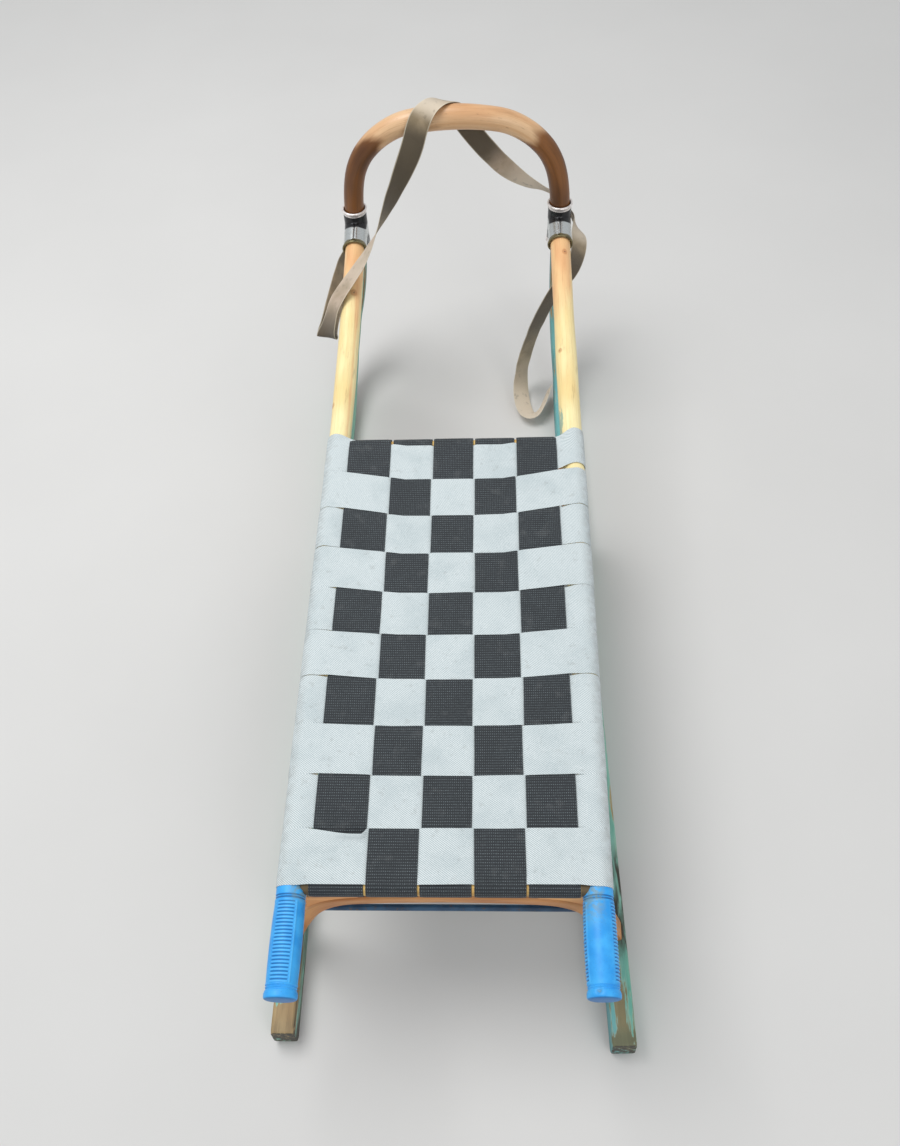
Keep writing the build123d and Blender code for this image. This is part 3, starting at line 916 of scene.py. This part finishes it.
def make_rail(name, sign):
    y = np.linspace(GRIP_FRONT, RAIL_END_Y, 360)

    def tone(run, angle):
        warm = 0.9 * smoothstep(run + GRIP_FRONT, RAIL_END_Y - 0.22, RAIL_END_Y - 0.02)
        if sign > 0:
            return warm + 0.25 * np.cos(angle - 2.2)
        return warm + 0.6 * hump(angle, 0.75, 0.25)

    knots = [(place, 90 + turn * sign, reach, height) for place, turn, reach, height in RAIL_KNOTS[name]]
    radii = np.full(len(y), RAIL_R)
    radii[:2] *= 0.96
    line = np.column_stack([rail_x(sign, y), y, rail_height(y)])
    obj = pole(f"seat_pole_{name}", line, (1, 0, 0), radii, 0.35 * MM, knots, tone, 3.0 * sign)
    x, y, _ = places_of(obj.data).T
    inner = smoothstep(sign * (rail_x(sign, y) - x), 0.2 * RAIL_R, 0.9 * RAIL_R)
    add_layer(obj.data, "teal", 0.8 * inner * ramp(y, 105, 130) * ramp(y, 260, 150) * (sign > 0))
    dress(obj, "rail", "wood_pale", f"seat_rail_{name}")


for side_name, side_sign in SIDES:
    make_rail(side_name, side_sign)


# Front bow: one bent pole, thicker at its crest, its legs in the sleeves

# Half of its middle line: (distance from the middle, height over the joint) in mm

BOW_HALF = (
    (149, 8), (148, 38), (143.5, 68), (136, 91), (123, 112), (101, 131.5), (72, 145), (36, 151), (0, 153),
)

# Its knots: (place along it in metres, angle from the inner side, radius and height in mm)

BOW_KNOTS = (
    (0.150, 60, 3.2, 0.5), (0.205, 100, 2.6, 0.5), (0.262, 80, 2.2, 0.4),
    (0.330, 110, 3.0, 0.4), (0.395, 40, 3.4, 0.5),
)


def make_bow():
    half = [(x * MM, z * MM + BOW_CREST_LIFT * smoothstep(x, 136, 50)) for x, z in BOW_HALF]
    points = half + [(-x, z) for x, z in half[-2::-1]]
    lean_y, lean_z = math.sin(BOW_LEAN), math.cos(BOW_LEAN)
    line = smooth_line([(x, JOINT_Y + z * lean_y, JOINT_Z + z * lean_z) for x, z in points], 2.2 * MM)
    length = run_along(line)[-1]

    def off_crest(run):
        """0 at the crest and 1 at the legs' ends."""
        return np.abs(run / length - 0.5) * 2

    def tone(run, angle):
        far = off_crest(run)
        legs = smoothstep(far, 0.36, 0.68)
        inner_bends = hump(far, 0.55, 0.16) * (0.5 + 0.5 * np.cos(angle))
        return 1.05 * legs + 0.45 * inner_bends + 0.12 * np.sin(3 * angle + 20 * run)

    radii = BOW_CREST_R - (BOW_CREST_R - BOW_LEG_R) * smoothstep(off_crest(run_along(line)), 0.05, 0.85)
    inward = np.array([0, JOINT_Y, JOINT_Z + 60 * MM]) - line
    inner_side = unit(np.cross(unit(np.gradient(line, axis=0)), np.array([0, lean_z, -lean_y])))
    inner_side *= np.sign(np.sum(inner_side * inward, axis=1, keepdims=True))
    obj = pole("front_bow_wood", line, inner_side, radii, 0.3 * MM, BOW_KNOTS, tone, 1.0, 52)
    dress(obj, "bow", "wood_bent", "front_bow")


make_bow()


# Runners: square bars under teal paint, turned up at the front, worn through at the back


def runner_x(name, y):
    """Distance of a runner's middle line from the middle of the sled."""
    places, middles = zip(*RUNNER_PLAN[name])
    return np.interp(y, np.array(places) * MM, np.array(middles) * MM)


def runner_line(name, sign):
    """Middle line of a runner, with finer points at its rear end."""
    low = SHOE_T + RUNNER_H / 2
    centre_y = JOINT_Y + low - RUNNER_BEND_R
    radius = RUNNER_BEND_R - low
    turn = np.linspace(0, math.pi / 2, 60)
    y = np.array([RUNNER_REAR[name], *(centre_y + radius * np.sin(turn)), JOINT_Y])
    z = np.array([low, *(RUNNER_BEND_R - radius * np.cos(turn)), JOINT_Z - SLEEVE_DOWN + 4 * MM])
    line = evenly(np.column_stack([0 * y, y, z]), 3.2 * MM)
    finer = np.array([0, 0.1, 0.25, 0.45, 0.7])[:, None]
    line = np.vstack([line[0] + finer * (line[2] - line[0]), line[2:]])
    line[:, 0] = sign * smoothed(runner_x(name, line[:, 1])[:, None], 5)[:, 0]
    return line


def runner_end(run, u, v):
    """Rounds the lower edge of a runner's rear end and breaks the upper one. u and v are in its section."""
    top = RUNNER_H / 2
    round_r = 6 * MM
    low_cut = np.maximum(0, round_r - run)
    low = -top + round_r - np.sqrt(np.maximum(0, round_r**2 - low_cut**2))
    high = top - np.maximum(0, 1.6 * MM - run) * 0.6
    return u * (1 - 0.04 * ramp(run, 5, 0)), low + (v + top) / (2 * top) * (high - low)


def runner_wear(sign, run, u, v):
    """Where the paint is worn off, fresh and blue, or mouldy, and where grime and painted shade darken it.
    run starts at the rear end.
    """
    upper = smoothstep(v, 0.25 * RUNNER_H, 0.45 * RUNNER_H)
    outer = u * sign / RUNNER_W + 0.5
    rear = ramp(run, 160, 50)
    wear = 0.15 + 0.22 * ramp(run, 1020, 1160)
    fresh = 0.5 * hump(run, 0.70, 0.05)
    # Grime on the rear end face and the last few centimetres, painted shade on the turned-up front under the
    # rail, and darker towards the bottom of the sides
    dirt_and_shade = 1.0 * (run < 0.3 * MM) + 0.35 * ramp(run, 30, 5) + 0.55 * ramp(run, 1000, 1150)
    dirt_and_shade = dirt_and_shade + 0.35 * smoothstep(-v, 0.2 * RUNNER_H, 0.5 * RUNNER_H)
    if sign > 0:
        wear = wear + upper * rear * (0.76 * hump(outer, 0.46, 0.26) - 0.05) + 0.3 * upper * ramp(run, 22, 6)
        fresh = fresh + 0.75 * (1 - outer)
        # Painted shade where the rear arch and the seat cover the right runner
        dirt_and_shade = dirt_and_shade + 1.2 * ramp(run, 85, 110) * ramp(run, 230, 190)
        mould = 0.6 * upper * ramp(run, 200, 100) + 0.35 * ramp(run, 35, 10)
    else:
        streaky = ramp(run, 28, 40) * smoothstep(outer, 0.25, 0.45)
        wear = wear + upper * rear * (0.85 - 0.62 * streaky) + 0.27 * rear * (1 - upper)
        # Painted shade on the left runner's inner side at the rear
        dirt_and_shade = dirt_and_shade + 0.9 * smoothstep(outer, 0.1, 0.02) * ramp(run, 300, 200)
        mould = 0 * run
    return {"wear": wear, "fresh": np.clip(fresh, 0, 1), "dirt_and_shade": dirt_and_shade, "mould": mould}


def make_runner(name, sign):
    def shape(run, u, v):
        dent = 0.25 * MM * ripple(run / 0.07, 4.0 + sign) * (v > 0)
        u, v = runner_end(run, u, v)
        return u, v + dent

    def paint_layers(run, u, v):
        return runner_wear(sign, run, u, v)

    line = runner_line(name, sign)
    widths = np.interp(line[:, 1], [RUNNER_TAPER_Y, RUNNER_TIP_Y], [RUNNER_W, RUNNER_TIP_W])
    rings, layers = bar(line, (1, 0, 0), widths, RUNNER_H, 3.5 * MM, shape, paint_layers)
    height = (rings[..., 2] - SHOE_T) / RUNNER_H
    rings[..., 1] += RUNNER_SLANT * height * ramp(run_along(line)[:, None], 25, 0)
    obj = skin(f"runner_bar_{name}", rings, layers, 40)
    dress(obj, "runner", "wood_painted", f"runner_{name}")


def make_shoe(name, sign):
    """Steel strip under the runner and round its turned-up front."""
    line = runner_line(name, sign)
    _, _, up = directions(line, (1, 0, 0))
    line = line - up * (RUNNER_H + SHOE_T) / 2
    line = line[(line[:, 1] > SHOE_REAR_Y) & (line[:, 2] < SHOE_END_Z)]
    rings, layers = bar(line, (1, 0, 0), SHOE_W, SHOE_T, 0.8 * MM)
    obj = skin(f"shoe_strip_{name}", rings, layers, 40)
    dress(obj, "shoe", "steel_worn", f"runner_shoe_{name}")


for side_name, side_sign in SIDES:
    make_runner(side_name, side_sign)
    make_shoe(side_name, side_sign)


# Bent arches that carry the seat, with their blocks and rods, and the bars

# Half of an arch's middle line: (distance from the middle, height) in mm

ARCH_HALF = (
    (182, 18), (178, 40), (166, 85), (152, 130), (140, 160),
    (125, 182), (105, 196.5), (75, 203.5), (40, 207), (0, 208.5),
)


def arch_points(y):
    """The arch's outline, its feet moved on to the runners."""
    legs = {}
    for name, sign in SIDES:
        shift = runner_x(name, y) + 1 * MM - ARCH_FOOT_X
        fades = [max(0, 1 - z * MM / ARCH_SHOULDER_Z) for _, z in ARCH_HALF]
        legs[name] = [(sign * (x * MM + shift * fade), y, z * MM) for (x, z), fade in zip(ARCH_HALF, fades)]
    return legs["right"] + legs["left"][-2::-1]


def make_arch(end):
    line = smooth_line(arch_points(middle(f"{end}_arch").y), 2.5 * MM)
    inside = np.flatnonzero(line[:, 2] > DECK_Z + 1.5 * MM)
    first, last = inside[0], inside[-1]
    ends = []
    for near, far in ((line[first], line[first - 1]), (line[last], line[last + 1])):
        share = (near[2] - DECK_Z) / (near[2] - far[2])
        ends.append(near + share * (far - near))
    line = np.vstack([ends[0], line[first : last + 1], ends[1]])
    rings, layers = bar(line, (0, 1, 0), ARCH_W, ARCH_T, 3 * MM)
    along = unit(np.gradient(line, axis=0))
    for ring in (0, -1):
        drop = (rings[ring, :, 2] - DECK_Z) / along[ring, 2]
        rings[ring] -= drop[:, None] * along[ring]
    obj = skin(f"{end}_arch_wood", rings, layers, 40)
    dress(obj, "arch", "wood_bent", f"{end}_arch")


def make_front_bar():
    """The front bar lies a little ahead of its solid."""
    x = np.linspace(-RAIL_X, RAIL_X, 60)
    line = np.column_stack([x, 0 * x + BAR_AHEAD_Y, 0 * x + BAR_Z])
    obj = pole("front_bar_wood", line, (0, 1, 0), np.full(60, BAR_R))
    dress(obj, "crossbar", "wood_pale", "crossbar_front")


make_front_bar()
dress_node("crossbar_rear", "crossbar")
for end_name in ("rear", "front"):
    make_arch(end_name)
    dress_node(f"brace_rod_{end_name}", "rod")
    for side_name, _ in SIDES:
        dress_node(f"arch_block_{end_name}_{side_name}", "block", 1.2 * MM)

# Sleeves: three-way pressed steel tubes with rolled rims

RAIL_AXIS = (0, -math.cos(RAIL_SLOPE), -math.sin(RAIL_SLOPE))
BOW_AXIS = (0, math.sin(BOW_LEAN), math.cos(BOW_LEAN))
DOWN_AXIS = (0, 0, -1)
SLEEVE_ARMS = (
    ("rear", RAIL_AXIS, SLEEVE_REAR),
    ("top", BOW_AXIS, SLEEVE_UP),
    ("low", DOWN_AXIS, SLEEVE_DOWN),
)
SKIRT = 5 * MM
SLEEVE_SIDES = 72
SEAM_HALF = 1.1 * MM
SEAM_DEPTH = 1.1 * MM
SWELL_HEIGHT = 0.9 * MM

# How much a step ahead and a step up each lift a spot in the photo's view, to place the painted reflection
# under the upper rim

VIEW_AHEAD = 0.84
VIEW_UP = 0.54


def remeshed(obj, voxel, rounds):
    """The object's mesh rebuilt in one even skin and smoothed."""
    remesh = obj.modifiers.new("remesh", "REMESH")
    remesh.mode = "VOXEL"
    remesh.voxel_size = voxel
    smooth = obj.modifiers.new("smooth", "SMOOTH")
    smooth.factor = 0.5
    smooth.iterations = rounds
    bpy.context.view_layer.update()
    ready = bpy.data.meshes.new_from_object(obj.evaluated_get(bpy.context.evaluated_depsgraph_get()))
    obj.modifiers.clear()
    obj.data = ready
    return obj


def make_sleeve_body(name, centre):
    """Three tubes grown together, with a pressed seam and swellings behind. The dark layer paints reflection
    and shade into the steel: dark under the upper rim and in the seam, lighter on the swellings, darker on
    the lower arm.
    """
    shapes = []
    for _, axis, reach in SLEEVE_ARMS:
        length = reach - SKIRT
        profile = ((SLEEVE_R, -4 * MM), (SLEEVE_R, length / 2), (SLEEVE_R, length))
        shapes.append((lathe(profile, centre, axis, SLEEVE_SIDES), tube_faces(3, SLEEVE_SIDES)))
    ball = [(SLEEVE_R * math.cos(a), SLEEVE_R * math.sin(a)) for a in np.radians(np.linspace(-88, 88, 23))]
    shapes.append((lathe(ball, centre, (1, 0, 0), SLEEVE_SIDES), tube_faces(len(ball), SLEEVE_SIDES)))
    obj = remeshed(join_shapes(f"sleeve_body_{name}", shapes), 0.85 * MM, 14)
    place = places_of(obj.data)
    local = place - np.array(centre)
    x, y, z = local.T
    behind = ramp(-y, 2, 9) * ramp(z, -4, 3)
    seam = hump(x, 0, SEAM_HALF) * behind
    swell = hump(np.abs(x), 4.5 * MM, 3 * MM) * behind * hump(z, 4 * MM, 6 * MM)
    outward = unit(local * np.array([0.4, 1, 1]))
    place = place + outward * (SWELL_HEIGHT * swell - SEAM_DEPTH * seam)[:, None]
    obj.data.vertices.foreach_set("co", place.reshape(-1))
    # Painted reflection and shade: dark under the upper rim as the camera sees it, dark in the seam, lighter
    # on the swellings, darker on the lower arm
    height_in_view = VIEW_AHEAD * y + VIEW_UP * z
    upper = ramp(height_in_view, -15, -11) * ramp(z, 0, 6) * (1 - 0.45 * ramp(y, 3, 12))
    dark = 0.1 + 0.75 * upper + 0.3 * upper * ramp(x, 4, 12)
    dark = dark + 0.6 * seam - 0.3 * swell + 0.5 * ramp(-z, 8, 20)
    add_layer(obj.data, "dark", np.clip(dark, 0, 1))
    shade(obj.data, 60)
    dress(obj, "sleeve", "steel_plated", f"sleeve_{name}")


def make_rim(name, key, centre, axis, reach):
    inner = SLEEVE_R - 1.3 * MM
    profile = [(SLEEVE_R + 0.02 * MM, reach - SKIRT - 2 * MM)]
    for turn in np.radians(np.linspace(-70, 200, 19)):
        profile.append((SLEEVE_R + RIM_R * math.cos(turn), reach - RIM_R + RIM_R * math.sin(turn)))
    profile += [(inner, reach - 2.6 * MM), (inner, reach - SKIRT - 1 * MM)]
    rings = lathe(profile, centre, axis, SLEEVE_SIDES)
    faces = tube_faces(len(profile), SLEEVE_SIDES, capped=False, closed=True)
    rim = join_shapes(f"sleeve_rim_{key}_{name}", [(rings, faces)], 60)
    # Painted highlight on the top and lower rims, painted shade on the rear rim
    dress(rim, "rim_shaded" if key == "rear" else "rim_lit", "steel_plated")


for side_name, side_sign in SIDES:
    joint = Vector((side_sign * RAIL_X, JOINT_Y, JOINT_Z))
    make_sleeve_body(side_name, joint)
    for arm_name, arm_axis, arm_reach in SLEEVE_ARMS:
        make_rim(side_name, arm_name, joint, arm_axis, arm_reach)


# Hand grips: ribbed panels and smooth strips between a grooved collar and a flared end

# Profile of a grip: (place from its front end, radius) in mm

GRIP_PROFILE = (
    (0, 14.3), (0.5, 14.6), (8.2, 14.6), (8.7, 13.6), (9.5, 13.6), (10, 14.5), (10.5, 14.5), (11, 13.6),
    (12, 13.6), (12.5, 14.6), (15.5, 14.9), (30, 15.4), (52, 15.7), (75, 15.5), (88.3, 15.1),
    (89.2, 15.1), (89.7, 14.2), (90.5, 14.2), (90.9, 15), (91.4, 15), (91.9, 14.2), (92.8, 14.2),
    (93.4, 15), (96, 15.8), (99, 15.8), (100.3, 15.3), (101.1, 14), (101.5, 11.5),
)

# Length of each grip, and the side that the middle of its ribs faces

GRIP_LENGTH = {"left": 101.5 * MM, "right": 98.5 * MM}
GRIP_TURN = {"left": math.radians(94), "right": math.radians(10)}

# Ribs, from so far to so far along the profile in mm, and the nick in the right grip

RIB_START = 15.5
RIB_END = 88.3
RIB_PITCH = (RIB_END - RIB_START) * MM / 22
RIB_DEPTH = 0.75 * MM
RIB_HEIGHT = 0.12 * MM
STRIP_DEPTH = 0.35 * MM
BORDER_HEIGHT = 0.45 * MM
PANEL_HALF = math.radians(37)
NICK_ANGLE = math.radians(112)
NICK_PLACE = 95 * MM
NICK_SIZE = 2.2 * MM


def make_grip(name, sign):
    """The left grip has its ribs on top, and the right grip a smooth strip."""
    places, radii = zip(*GRIP_PROFILE)
    full = places[-1] * MM
    run = np.linspace(0, full, 300)[:, None]
    angle = np.linspace(0, 2 * math.pi, 112, endpoint=False)[None, :]
    base = np.interp(run, np.array(places) * MM, np.array(radii) * MM)
    off_panel = np.abs((angle - GRIP_TURN[name] + math.pi / 2) % math.pi - math.pi / 2)
    within = ramp(run, RIB_START - 1, RIB_START) * ramp(run, RIB_END, RIB_END - 1)
    panel = smoothstep(off_panel, PANEL_HALF, PANEL_HALF - math.radians(5))
    border = hump(off_panel, PANEL_HALF + math.radians(4), math.radians(3))
    border = border * np.where(np.cos(angle) * -sign > 0, 1.0, 0.35)
    crest = np.clip(0.8 - 1.1 * np.cos(2 * math.pi * (run - RIB_START * MM) / RIB_PITCH), 0, 1)
    rib = crest * panel * within
    groove = (1 - crest) * panel * within
    radius = base - RIB_DEPTH * groove + RIB_HEIGHT * rib + BORDER_HEIGHT * border * within
    radius = radius - STRIP_DEPTH * (1 - panel) * within * (1 - border)
    low_ring = smoothstep(14.45 * MM - base, 0.1 * MM, 0.7 * MM) * (run > 3 * MM) * (run < 95 * MM)
    # Painted light and shade of the relief: high on rib crests and raised borders, low in grooves, the
    # collar's rings and the flared end
    relief_shading = 0.5 + 0.4 * rib - 0.5 * groove + 0.5 * border * within
    relief_shading = relief_shading - 0.5 * low_ring - 0.45 * ramp(run, 99.5, 101)
    if sign > 0:
        nick = hump(turn_from(angle, NICK_ANGLE), 0, math.radians(9)) * hump(run, NICK_PLACE, NICK_SIZE)
        radius = radius - NICK_SIZE * nick
        fade = ramp(run, 45, 8) * smoothstep(np.cos(angle - math.radians(125)), 0.4, 0.9) + nick
    else:
        fade = ramp(run, 20, 6) * smoothstep(np.cos(angle - 0.6), 0.5, 0.9)
    y = GRIP_FRONT - run * GRIP_LENGTH[name] / full
    x = rail_x(sign, y) + radius * np.cos(angle)
    rings = np.stack([x, y + 0 * radius, RAIL_Z + radius * np.sin(angle)], axis=-1)
    obj = skin(f"grip_rubber_{name}", rings, {"relief_shading": relief_shading, "fade": np.clip(fade, 0, 1)}, 55)
    dress(obj, "grip", "grip_rubber", f"grip_{name}")


for side_name, side_sign in SIDES:
    make_grip(side_name, side_sign)


# Woven seat: five black straps lengthwise, ten pale ones across, over and under each other

WEB_T = 1.15 * MM
WEB_STEP = 2 * MM
WEAVE_LIFT = 1.2 * MM
WEAVE_EDGE = 2.3 * MM
WEAVE_MID = SEAT_TOP - 1.8 * MM
SAG = 3.0 * MM
LONG_W = 49.6 * MM
CROSS_W = 54.6 * MM
LONG_SHIFT = -0.9 * MM
PULL = 8.8 * MM
PULL_FROM = 60 * MM
PULL_RUN = 44 * MM
WRAP_GAP = 0.25 * MM
CROSS_WRAP = math.radians(208)
LONG_WRAP = math.radians(195)
FRONT_BULGE = 0.15
CREASE_DEPTH = 0.4 * MM

# The last pale strap's lifted edge, and its creases from so far to so far across, in mm

FOLD_HEIGHT = 5 * MM
FOLD_BACK = 7 * MM
LAST_CREASE_DEPTH = 1.1 * MM
LAST_CREASES = ((-128, -88), (-22, 22), (80, 104))

# The first pale strap is slack in the middle in front and pulled ahead at the rails, most at the right

FRONT_SLACK = 2 * MM
FRONT_PULL = 3 * MM
FRONT_PULL_RIGHT = 5 * MM
REAR_PULL_RIGHT = 6 * MM


def pull(index, far):
    """How far forward a row boundary lies at a distance from the middle: most at the front rows' ends."""
    share = np.clip(1 - index / (CROSS_COUNT - 1), 0, 1) ** 1.2
    return PULL * share * np.clip((far - PULL_FROM) / PULL_RUN, 0, 2.1)


def boundary(index, across):
    """Place along the sled of the line between two pale straps, counted from the front."""
    uneven = 0.8 * MM * np.sin(index * 2.1 + across / (60 * MM)) * (0 < index < CROSS_COUNT)
    return BAR_FRONT_Y - CROSS_PITCH * index + pull(index, np.abs(across)) + uneven


def row_middle(row, across):
    return (boundary(row, across) + boundary(row + 1, across)) / 2


def column_edge(index):
    return (index - LONG_COUNT / 2) * LONG_PITCH + LONG_SHIFT


def column_middle(index):
    return (index - (LONG_COUNT - 1) / 2) * LONG_PITCH + LONG_SHIFT


def sag(x, y):
    mid = (BAR_FRONT_Y + BAR_REAR_Y) / 2
    half = (BAR_FRONT_Y - BAR_REAR_Y) / 2
    wide = np.clip(1 - (x / (140 * MM)) ** 2, 0, 1)
    long = np.clip(1 - ((y - mid) / half) ** 4, 0, 1)
    rumple = 0.35 * MM * ripple((x + 0.4 * y) / 0.09, 1.0) * ripple(y / 0.12, 2.0)
    return (-SAG * wide + rumple * np.sqrt(wide)) * long


def stations(half, radius, wrap):
    """Distances from the middle over the top and round the bar at each end, evenly spaced."""
    reach = half + radius * wrap
    return np.linspace(-reach, reach, 2 * round(reach / WEB_STEP) + 1)[:, None]


def over_and_round(run, half, radius):
    """Place across and turn round the end bar: the turn is 90 degrees on top and falls as it goes round."""
    turn = math.pi / 2 - np.maximum(np.abs(run) - half, 0) / radius
    return np.clip(run, -half, half) + np.sign(run) * radius * np.cos(turn), turn


def front_row_shift(run, share):
    """How far ahead the first pale strap is pulled at a place across it."""
    far = np.abs(run)
    front_edge = smoothstep(share, 0.0, 1.0)
    shift = (FRONT_PULL + FRONT_PULL_RIGHT * (run > 0)) * ramp(far, 132, 150)
    shift = shift - FRONT_SLACK * ramp(far, 138, 122)
    return shift * front_edge + REAR_PULL_RIGHT * ramp(run, 118, 150) * smoothstep(-share, 0.2, 1.0)


def make_cross_strap(row):
    radius = RAIL_R + WRAP_GAP + WEB_T / 2
    run = stations(RAIL_X, radius, CROSS_WRAP)
    x, turn = over_and_round(run, RAIL_X, radius)
    share = np.linspace(-1, 1, 15)[None, :]
    far = np.abs(run)
    half = CROSS_W / 2 - 0.3 * MM * ramp(far, 120, 150) + 0.25 * MM * ripple(run / 0.11, row * 1.3)
    half = half + 1.1 * MM * ramp(far, 128, 146) * (1 - 0.9 * (row < 2) * (run > 0))
    y = row_middle(row, run) + half * share
    if row == 0:
        y = y + front_row_shift(run, share)
    level = -1.0 if row % 2 == 0 else 1.0
    for index in range(1, LONG_COUNT):
        level = level * np.tanh((run - column_edge(index)) / WEAVE_EDGE)
    woven = WEAVE_MID + WEAVE_LIFT * level + sag(x, y)
    rail_middle = rail_height(y)
    on_rail = smoothstep(far, RAIL_X - 20 * MM, RAIL_X - 3 * MM)
    z = woven * (1 - on_rail) + (rail_middle + radius) * on_rail
    slack = (0.25 + 0.2 * (row % 2)) * MM * (1 + ripple(run / 0.03, row * 0.7))
    wrap_r = radius + slack * smoothstep(far, RAIL_X, RAIL_X + 20 * MM)
    z = np.where(far > RAIL_X, rail_middle + wrap_r * np.sin(turn), z)
    x = np.where(far > RAIL_X, np.sign(run) * (RAIL_X + wrap_r * np.cos(turn)), x)
    crease_middle = 0.15 * np.sin(row * 2.3) + 0.1 * ripple(run / 0.15, row)
    z = z - CREASE_DEPTH * hump(share, crease_middle, 0.09) * ramp(far, 75, 95) * (1 - on_rail)
    if row == CROSS_COUNT - 1:
        fold = ramp(-run, 79.5, 84) * ramp(-run, 146, 92) * smoothstep(share, 0.45, 1.0)
        z = z + FOLD_HEIGHT * fold
        y = y - FOLD_BACK * fold * share.clip(0)
        for low, high in LAST_CREASES:
            within = ramp(run, low, low + 10) * ramp(run, high, high - 10)
            z = z - LAST_CREASE_DEPTH * within * hump(share, 0.05, 0.1)
    grid = np.stack([x - rack(x, y) * ramp(np.abs(x), 110, 140), y, z], axis=-1)
    layers = {
        "weave": np.stack([half * share, run + 0 * share, 0 * y + row], axis=-1),
        "soil": 0.35 * smoothstep(far, RAIL_X, RAIL_X + 15 * MM) + 0 * y,
    }
    obj = slab(f"cross_webbing_{row + 1}", grid, WEB_T, layers)
    dress(obj, "light", "webbing_light", f"cross_strap_{row + 1}")


def make_long_strap(index):
    radius = BAR_R + WRAP_GAP + WEB_T / 2
    half_run = (BAR_AHEAD_Y - BAR_REAR_Y) / 2
    run = stations(half_run, radius, LONG_WRAP)
    flat, turn = over_and_round(run, half_run, radius)
    y = flat + (BAR_AHEAD_Y + BAR_REAR_Y) / 2
    share = np.linspace(-1, 1, 13)[None, :]
    half = LONG_W / 2 + 0.2 * MM * ripple(run / 0.13, index * 2.1)
    x = column_middle(index) + half * share + 0.3 * MM * ripple(run / 0.2, index)
    level = 1.0 if index % 2 == 0 else -1.0
    for row in range(1, CROSS_COUNT):
        level = level * np.tanh((y - boundary(row, x)) / WEAVE_EDGE)
    woven = WEAVE_MID + WEAVE_LIFT * level + sag(x, y)
    far = np.abs(run)
    near_bar = smoothstep(far, half_run - 12 * MM, half_run - 1 * MM)
    over_pale = (run > 0) == (index % 2 == 0)
    wrap_r = radius + (WEB_T + 0.15 * MM) * over_pale * ramp(np.maximum(far - half_run, 0), 12, 0)
    z = woven * (1 - near_bar) + (BAR_Z + wrap_r) * near_bar
    z = np.where(far > half_run, BAR_Z + wrap_r * np.sin(turn), z)
    end_y = np.where(run > 0, BAR_AHEAD_Y, BAR_REAR_Y)
    bulge = 1 + FRONT_BULGE * (run > 0)
    y = np.where(far > half_run, end_y + np.sign(run) * wrap_r * bulge * np.cos(turn), y)
    if index == 0:
        x = x - 1.6 * MM * (1 - share)
    grid = np.stack([x, y + 0 * x, z], axis=-1)
    weave = np.stack([half * share, run + 0 * share, 0 * x + index], axis=-1)
    obj = slab(f"long_webbing_{index + 1}", grid, WEB_T, {"weave": weave})
    dress(obj, "black", "webbing_black", f"long_strap_{index + 1}")


for strap_row in range(CROSS_COUNT):
    make_cross_strap(strap_row)
for strap_index in range(LONG_COUNT):
    make_long_strap(strap_index)


# Tacks that hold the straps' ends under the rails and the bars

# Profile of a head: (radius, height) in mm. The turns say how far round the wraps the tacks sit

TACK_PROFILE = ((3.0, -0.3), (3.1, 0.1), (2.4, 0.8), (1.2, 1.2), (0.2, 1.3))
CROSS_TACK_TURN = math.radians(196)
LONG_TACK_TURN = math.radians(178)


def tack(place, axis):
    profile = [(radius * MM, height * MM) for radius, height in TACK_PROFILE]
    return lathe(profile, place, axis, 20), tube_faces(len(profile), 20)


def make_tacks():
    shapes = []
    reach = RAIL_R + WRAP_GAP + WEB_T
    out, up = math.cos(math.pi / 2 - CROSS_TACK_TURN), math.sin(math.pi / 2 - CROSS_TACK_TURN)
    for row in range(CROSS_COUNT):
        for _, sign in SIDES:
            centre = float(row_middle(row, sign * (RAIL_X + reach * CROSS_TACK_TURN)))
            for shift in (-18, 0, 18):
                y = centre + shift * MM
                x = sign * (RAIL_X + reach * out)
                place = (x - float(rack(x, y)), y, float(rail_height(y)) + reach * up)
                shapes.append(tack(place, (sign * out, 0, up)))
    reach = BAR_R + WRAP_GAP + WEB_T
    out, up = math.cos(math.pi / 2 - LONG_TACK_TURN), math.sin(math.pi / 2 - LONG_TACK_TURN)
    for index in range(LONG_COUNT):
        for bar_y, sign in ((BAR_REAR_Y, -1), (BAR_AHEAD_Y, 1)):
            for shift in (-15, 15):
                place = (column_middle(index) + shift * MM, bar_y + sign * reach * out, BAR_Z + reach * up)
                shapes.append(tack(place, (0, sign * out, up)))
    dress(join_shapes("strap_tacks", shapes), "tack", "steel_worn")


make_tacks()


# Pale floor, soft light from above

FLOOR_REACH = 12.0
SKY_COLOUR = (0.96, 0.98, 1.0, 1.0)
SKY_STRENGTH = 0.62


def add_stage():
    mesh = bpy.data.meshes.new("floor")
    corners = [(x * FLOOR_REACH, y * FLOOR_REACH, 0) for x, y in ((-1, -1), (1, -1), (1, 1), (-1, 1))]
    mesh.from_pydata(corners, [], [(0, 1, 2, 3)])
    floor = add_object("floor", mesh)
    mesh.materials.append(floor_material())


def add_light(name, place, aim, width, energy):
    data = bpy.data.lights.new(name, "AREA")
    data.shape = "DISK"
    data.size = width
    data.energy = energy
    light = add_object(name, data)
    light.location = place
    light.rotation_euler = (Vector(aim) - Vector(place)).to_track_quat("-Z", "Y").to_euler()


def light_scene():
    scene = bpy.context.scene
    world = bpy.data.worlds.new("soft_sky")
    scene.world = world
    world.use_nodes = True
    sky = world.node_tree.nodes["Background"]
    sky.inputs["Color"].default_value = SKY_COLOUR
    sky.inputs["Strength"].default_value = SKY_STRENGTH
    add_light("overhead", place=(-0.9, 0.5, 2.6), aim=(0, 0, 0.1), width=1.6, energy=42)
    add_light("behind", place=(1.2, -2.2, 2.0), aim=(0, 0, 0.2), width=1.4, energy=14)
    scene.view_settings.view_transform = "Standard"


add_stage()
light_scene()
